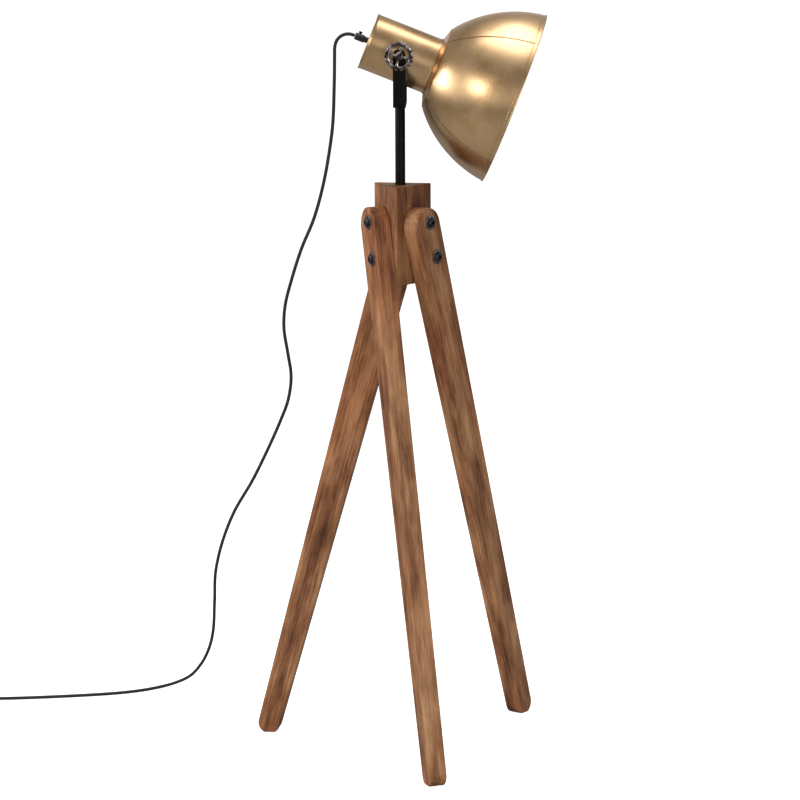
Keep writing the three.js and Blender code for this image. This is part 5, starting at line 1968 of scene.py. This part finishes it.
@dataclass
class LampHead:
    """The tilting head: housing, shade, lamp holder, bulb and cable gland."""

    pivot: Vector
    back: float = -53.8
    front: float = 56.0
    front_lip: float = 2.0
    radius: float = 45.0
    sheet: float = 1.0
    lip: float = 1.3
    cap_inset: float = 2.0
    skirt: float = 8.0
    stud_hole: float = 4.3
    cone_radius: float = 66.0
    cone_depth: float = 6.2
    bevel_radius: float = 72.7
    bevel_depth: float = 5.8
    rim_radius: float = 139.4
    shade_depth: float = 136.0
    arc_radius: float = 194.0
    bead: float = 1.4
    seam_depth: float = 0.4
    seam_degrees: tuple[float, ...] = (45.0, 135.0, 225.0, 315.0)
    holder_radius: float = 19.6
    holder_back: float = 26.0
    holder_front: float = 77.0
    cavity_radius: float = 14.9
    cavity_back: float = 40.0
    flange_radius: float = 26.0
    flange_thickness: float = 4.0
    ring_radius: float = 28.0
    ring_thickness: float = 6.0
    bulb_tip: float = 153.0
    bulb_radius: float = 30.0
    cap_radius: float = 13.3
    cap_length: float = 25.0
    gland_end: float = -75.7
    gland_radius: float = 5.9
    gland_length: float = 15.6
    gland_neck: float = 4.8
    gland_inner: float = -43.5
    gland_bore: float = 9.0
    cord_hole: float = 3.05
    screw_from_end: float = 6.5
    spacer_radius: float = 8.5
    spacer_thickness: float = 4.0
    spacer_ease: float = 0.4
    flare_length: float = 5.2
    flare_share: float = 0.85
    plate_bend: float = 1.2
    groove_back: float = 5.2
    groove_shape: tuple[Pair, ...] = ((-0.9, 0.0), (-0.35, 0.45), (0.35, 0.45), (0.9, 0.0))
    seam_half_width: float = 0.75
    seam_offsets: tuple[float, ...] = (-0.75, -0.35, 0.0, 0.35, 0.75)
    seam_length: float = 119.0
    facet_degrees: float = 3.0
    grips: int = 24
    grip_depth: float = 0.6
    thread_pitch: float = 3.6
    thread_depth: float = 0.42
    thread_step: float = 0.45
    neck_radius: float = 12.2
    neck_waist: float = 2.2
    globe_start: float = -48.0
    cut_reach: float = 60.0

    @property
    def axes(self) -> Matrix:
        """The head's own axes: Z forwards along the shade, Y across, X down.

        Returns:
            The turn that takes them into the frame.
        """
        along = Vector((math.cos(HEAD_TILT), 0, -math.sin(HEAD_TILT)))
        across = Vector((0, 1, 0))
        return Matrix((across.cross(along), across, along)).transposed()

    @property
    def place(self) -> Matrix:
        """The head's place in the frame."""
        axes = self.axes.transposed()
        return placement(self.pivot, axes[0], axes[1], axes[2])

    def build(self, workshop: Workshop) -> None:
        """Makes every piece of the head that shows.

        Args:
            workshop: Where pieces are made.
        """
        self._housing(workshop)
        self._shade(workshop)
        self._holder(workshop)
        self._bulb(workshop)
        self._gland(workshop)
        for side in Side:
            self._spacer(workshop, side)

    def dress(self, workshop: Workshop, frame: dict) -> None:
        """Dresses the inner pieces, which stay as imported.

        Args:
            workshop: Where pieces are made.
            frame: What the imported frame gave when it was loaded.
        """
        workshop.dress(frame, Slot.ZINC, "gland_nut", "pivot_stud_near", "pivot_stud_far",
                       "pivot_nut_near", "pivot_nut_far")
        workshop.dress(frame, Slot.CONTACT, "thread_shell", "centre_contact")
        workshop.dress(frame, Slot.BROWN_LEAD, "lead_live")
        workshop.dress(frame, Slot.BLUE_LEAD, "lead_neutral")

    def _housing(self, workshop: Workshop) -> None:
        """Makes the housing's wall with its flared lip, its rear cap and its front plate.

        Args:
            workshop: Where pieces are made.
        """
        inner, lip = self.radius - self.sheet, self.radius + self.lip
        share = self.flare_share
        flare = [(self.radius + self.lip * (1 - math.cos(math.pi / 2 * s)) * share,
                  self.back + self.flare_length - 4.4 * s) for s in (i / 8 for i in range(9))]
        ledge = self.front - self.front_lip
        outside = [(lip - 0.25, self.front), (lip, self.front - 0.25), (lip, ledge + 0.25),
                   (lip - 0.25, ledge), (self.radius, ledge), *flare, (lip, self.back + 0.45),
                   (lip - 0.15, self.back + 0.1), (lip - 0.5, self.back)]
        inside = [(inner + (r - self.radius) * share, z) for r, z in reversed(flare)]
        wall = Solid().turned([*outside, (lip - self.sheet, self.back + 0.2), *inside,
                               (inner, self.front)], 128, loop=True)
        across = Matrix.Rotation(math.radians(90), 4, "X")
        wall.merged(Merge.CUT, rod(self.stud_hole, -self.cut_reach, self.cut_reach).moved(across))
        workshop.piece("lamp_housing", wall, self.place, Slot.BRASS, Body.HEAD, ["housing"])
        cap = self._plate(self.back + self.cap_inset, 1, self.gland_neck + GAP)
        workshop.piece("housing_rear_cap", cap, self.place, Slot.BRASS, Body.HEAD, ["rear_cap"])
        plate = self._plate(self.front - GAP, -1, self.holder_radius + GAP)
        workshop.piece("housing_front_plate", plate, self.place, Slot.BRASS, Body.HEAD,
                       ["front_plate"])

    def _plate(self, face: float, way: int, hole: float) -> Solid:
        """A pressed disc with a skirt that fits in the housing.

        Args:
            face: Where its face lies along the head's axis.
            way: 1 or -1, the way its skirt runs.
            hole: Radius of its middle hole.

        Returns:
            The plate.
        """
        outer = self.radius - self.sheet - GAP
        inner = outer - self.sheet
        ease = self.plate_bend
        bend = [(outer - ease * (1 - math.sin(t)), face + way * ease * (1 - math.cos(t)))
                for t in (math.pi / 2 * i / 4 for i in range(5))]
        back, end = face + way * self.sheet, face + way * self.skirt
        return Solid().turned([(hole, face), *bend, (outer, end), (inner, end),
                               (inner, back + way * 0.5), (inner - 0.5, back), (hole, back)],
                              96, loop=True)

    def _shade_outside(self) -> list[Pair]:
        """The shade's outer outline, from the lamp holder to just before its rolled rim.

        Returns:
            Points as (radius, height).
        """
        start = Vector((self.bevel_radius, self.cone_depth + self.bevel_depth))
        end = Vector((self.rim_radius, self.shade_depth))
        chord = end - start
        reach = math.sqrt(self.arc_radius ** 2 - (chord.length / 2) ** 2)
        inward = Vector((-chord.y, chord.x)).normalized()
        centre = start + chord / 2 + inward * reach
        first, last = (math.degrees(math.atan2(at.y - centre.y, at.x - centre.x))
                       for at in (start, end))
        dome = arc((centre.x, centre.y), self.arc_radius, first, last, 40)
        shoulder = self.radius + self.lip
        return [(self.holder_radius + GAP, 0), (32, 0), (shoulder, 0), (shoulder + 0.8, 0.25),
                (self.cone_radius - 1.5, self.cone_depth - 0.47),
                (self.cone_radius - 1.1, self.cone_depth + 0.25),
                (self.cone_radius - 0.5, self.cone_depth + 0.4),
                (self.cone_radius, self.cone_depth), *dome]

    def _shade(self, workshop: Workshop) -> None:
        """Makes the spun shade: cone, bevel, dome with four seams, and a rolled rim.

        Args:
            workshop: Where pieces are made.
        """
        outside = self._shade_outside()
        groove_at = self.shade_depth - self.groove_back
        outside = [p for p in outside if abs(p[1] - groove_at) > 1.2]
        groove = [(self._dome_radius(outside, groove_at + along) - dip, groove_at + along)
                  for along, dip in self.groove_shape]
        outside = sorted([*outside[:-1], *groove], key=lambda p: (p[1], p[0])) + [outside[-1]]
        inside = sheet_side(outside, self.sheet)
        inside[0] = (outside[0][0], self.sheet)
        rim_inner = inside.pop()
        rim = (self.rim_radius + self.bead - 0.9, self.shade_depth + 1.0)
        bead = [(rim[0] + 0.9 * math.cos(t), rim[1] + math.sin(t))
                for t in (math.radians(-90 + 30 * i) for i in range(7))]
        section = [*outside, *bead, (rim_inner[0], rim[1] + 0.9), (rim_inner[0] - 0.3, rim[1]),
                   *reversed(inside)]
        section = [(r, z + self.front + GAP) for r, z in section]
        plain = [self.facet_degrees * i for i in range(round(360 / self.facet_degrees))]
        angles = [a for a in plain if self._from_seam(a) > 1.0]
        angles += [seam + offset for seam in self.seam_degrees for offset in self.seam_offsets]
        start = self.front + GAP + self.cone_depth + self.bevel_depth

        def seam(radius: float, height: float, angle: float) -> float:
            """How deep the nearest seam is.

            Args:
                radius: A point's radius.
                height: Its height.
                angle: Its angle in radians.

            Returns:
                What is added to the radius.
            """
            if radius < self.bevel_radius - 2 or not start + 1 < height <= start + self.seam_length:
                return 0.0
            away = self._from_seam(math.degrees(angle))
            return -self.seam_depth * max(0.0, 1 - away / self.seam_half_width)

        shade = Solid().turned(section, loop=True, relief=seam,
                               angles=[math.radians(a) for a in sorted(angles)])
        # The shade's brass carries dark seam lines, partly painted shade in the seam grooves.
        brass = AntiqueBrass(self.pivot, self.axes, seamed=True).material("brass_with_seam_joints_and_shade")
        workshop.piece("spun_shade", shade, self.place, Slot.BRASS, Body.HEAD, ["shade"], brass,
                       crease=13)

    def _from_seam(self, degrees: float) -> float:
        """How many degrees an angle is from the nearest seam."""
        return min(abs((degrees - seam + 180) % 360 - 180) for seam in self.seam_degrees)

    @staticmethod
    def _dome_radius(outline: Sequence[Pair], height: float) -> float:
        """The outline's radius at a height.

        Args:
            outline: Points as (radius, height), from low to high.
            height: The height.

        Returns:
            The radius.
        """
        for (r0, z0), (r1, z1) in zip(outline, outline[1:]):
            if z0 <= height <= z1 and z1 > z0:
                return r0 + (r1 - r0) * (height - z0) / (z1 - z0)
        return outline[-1][0]

    def _holder(self, workshop: Workshop) -> None:
        """Makes the glazed lamp holder and the ring that clamps the shade.

        Args:
            workshop: Where pieces are made.
        """
        flange_front = self.front - GAP - self.sheet - GAP
        flange_back = flange_front - self.flange_thickness
        r, c = self.holder_radius, self.cavity_radius
        outline = [(r - 3, self.holder_back), (r - 0.9, self.holder_back + 1.5),
                   (r, self.holder_back + 4), (r, flange_back),
                   (self.flange_radius - 0.6, flange_back), (self.flange_radius, flange_back + 0.6),
                   (self.flange_radius, flange_front - 0.6),
                   (self.flange_radius - 0.6, flange_front), (r, flange_front),
                   (r, self.holder_front - 1.0), (r - 0.3, self.holder_front - 0.3),
                   (r - 1.0, self.holder_front), (c + 0.8, self.holder_front),
                   (c, self.holder_front - 0.8), (c, self.cavity_back)]
        holder = Solid().turned(outline, 72)
        workshop.piece("holder_body", holder, self.place, Slot.CERAMIC, Body.HEAD,
                       ["lamp_holder_body"])
        low = self.front + GAP + self.sheet + GAP

        def grip(radius: float, height: float, angle: float) -> float:
            """Finger grips round the ring."""
            hollow = 1 - abs(math.cos(self.grips / 2 * angle))
            return -self.grip_depth * hollow if radius > self.ring_radius - 0.9 else 0.0

        outer, high = self.ring_radius, low + self.ring_thickness
        hole = r + GAP
        section = [(hole, low + 0.3), (hole + 0.3, low), (outer - 0.8, low), (outer, low + 0.8),
                   (outer, high - 0.8), (outer - 0.8, high), (hole + 0.3, high),
                   (hole, high - 0.3)]
        ring = Solid().turned(section, 192, loop=True, relief=grip)
        workshop.piece("holder_ring", ring, self.place, Slot.CERAMIC, Body.HEAD, ["shade_ring"])

    def _bulb(self, workshop: Workshop) -> None:
        """Makes the bulb's threaded cap and its opal globe.

        Args:
            workshop: Where pieces are made.
        """
        tip = self.cavity_back + 2.2
        end = tip + self.cap_length
        r = self.cap_radius
        outline = [(3.4, tip), (4.6, tip + 1.0), (5.0, tip + 2.6), (r - 3, tip + 4.2),
                   (r - 0.9, tip + 6.4)]
        threads = [(r - self.thread_step, tip + 7.0 + self.thread_step * i) for i in range(31)]
        outline += [*threads, (r, tip + 21.4), (r, end), (r - 0.6, end), (r - 0.6, end - 7)]

        def thread(radius: float, height: float, angle: float) -> float:
            """The rolled screw thread.

            Args:
                radius: A point's radius.
                height: Its height.
                angle: Its angle in radians.

            Returns:
                What is added to the radius.
            """
            if not (r - 0.5 < radius < r - 0.4):
                return 0.0
            turns = (height - tip) / self.thread_pitch - angle / (2 * math.pi)
            return self.thread_depth * math.cos(2 * math.pi * turns)

        cap = Solid().turned(outline, 64, relief=thread)
        workshop.piece("bulb_screw_cap", cap, self.place, Slot.ZINC, Body.HEAD, ["bulb_cap"],
                       crease=50)
        centre = self.bulb_tip - self.bulb_radius
        neck = self.neck_radius
        globe = arc((0, centre), self.bulb_radius, self.globe_start, 88.5, 30)
        foot = Vector((neck, end + 1))
        flare = [foot.lerp(Vector(globe[0]), t) - Vector((self.neck_waist * math.sin(math.pi * t), 0))
                 for t in (i / 8 for i in range(1, 8))]
        outside = [(neck, end - 6), (neck, end + 1), *[(max(neck, p.x), p.y) for p in flare],
                   *globe]
        inside = sheet_side(outside, 1.0)
        inside[0] = (inside[0][0], outside[0][1])
        glass = Solid().turned([*reversed(inside), *outside], 72)
        workshop.piece("opal_globe", glass, self.place, Slot.GLASS, Body.HEAD, ["bulb_glass"],
                       crease=60)

    def _gland(self, workshop: Workshop) -> None:
        """Makes the cable gland, whose set screw holds the cord.

        Args:
            workshop: Where pieces are made.
        """
        r, hole, neck = self.gland_radius, self.cord_hole, self.gland_neck
        inner = self.gland_end + self.gland_length
        outline = [(hole, self.gland_end + self.gland_bore), (hole, self.gland_end + 0.4),
                   (hole + 0.4, self.gland_end), (r - 1.2, self.gland_end),
                   (r - 0.35, self.gland_end + 0.35), (r, self.gland_end + 1.2),
                   (r, inner - 0.4), (r - 0.4, inner), (neck, inner), (neck, self.gland_inner)]
        body = Solid().turned(outline, FINE)
        at = self.gland_end + self.screw_from_end
        to_side = Matrix.Translation((0, 0, at)) @ Matrix.Rotation(math.radians(-90), 4, "Y")
        body.merged(Merge.CUT, rod(1.8, hole - 1, r + 1, COARSE).moved(to_side))
        workshop.piece("cord_gland", body, self.place, Slot.BLACK_PLASTIC, Body.HEAD,
                       ["cable_gland"])
        base = r + 0.8
        top = base + 2.8
        screw = Solid().turned([(1.2, hole + GAP), (1.5, hole + 0.6), (1.5, base), (2.85, base),
                                (3.0, base + 0.2), (3.0, top - 0.8), (2.6, top - 0.2),
                                (1.9, top)], 32)
        slot = Solid().slab([(-3, -0.35), (3, -0.35), (3, 0.35), (-3, 0.35)], top - 0.9, top + 1,
                            0.01, 1)
        screw.merged(Merge.CUT, slot)
        screw.moved(to_side)
        workshop.piece("cord_set_screw", screw, self.place, Slot.BLACK_STEEL, Body.HEAD,
                       ["gland_set_screw"])

    def _spacer(self, workshop: Workshop, side: Side) -> None:
        """Makes the spacer between the housing and one arm of the yoke.

        Args:
            workshop: Where pieces are made.
            side: The side it is on.
        """
        name = side.name.lower()
        low = self.radius + GAP
        spacer = eased_ring(self.stud_hole, self.spacer_radius, low, low + self.spacer_thickness,
                            self.spacer_ease, FINE)
        spacer.moved(Matrix.Rotation(math.radians(-90 * side.value), 4, "X"))
        workshop.piece(f"tilt_spacer_{name}", spacer, self.place, Slot.BLACK_PLASTIC, Body.HEAD,
                       [f"pivot_spacer_{name}"])


# ---- the whole lamp


def main() -> None:
    """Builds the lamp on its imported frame."""
    logging.basicConfig(level=logging.INFO, format="%(name)s: %(message)s")
    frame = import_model()
    pivot = pivot_point(frame)
    studio = Studio()
    studio.set_camera()
    head = LampHead(pivot)
    workshop = Workshop(FinishRack(pivot, head.axes).fill())
    MainsCord(pivot).build(workshop)
    tripod = Tripod()
    tripod.build(workshop)
    tripod.dress(workshop, frame)
    mast = Mast(pivot)
    mast.build(workshop)
    mast.dress(workshop, frame)
    for side in Side:
        Handwheel(side, pivot).build(workshop)
    head.build(workshop)
    head.dress(workshop, frame)
    studio.lay_floor()
    studio.set_lights()
    log.info("%d pieces made", len(workshop.pieces))


if __name__ == "__main__":
    main()
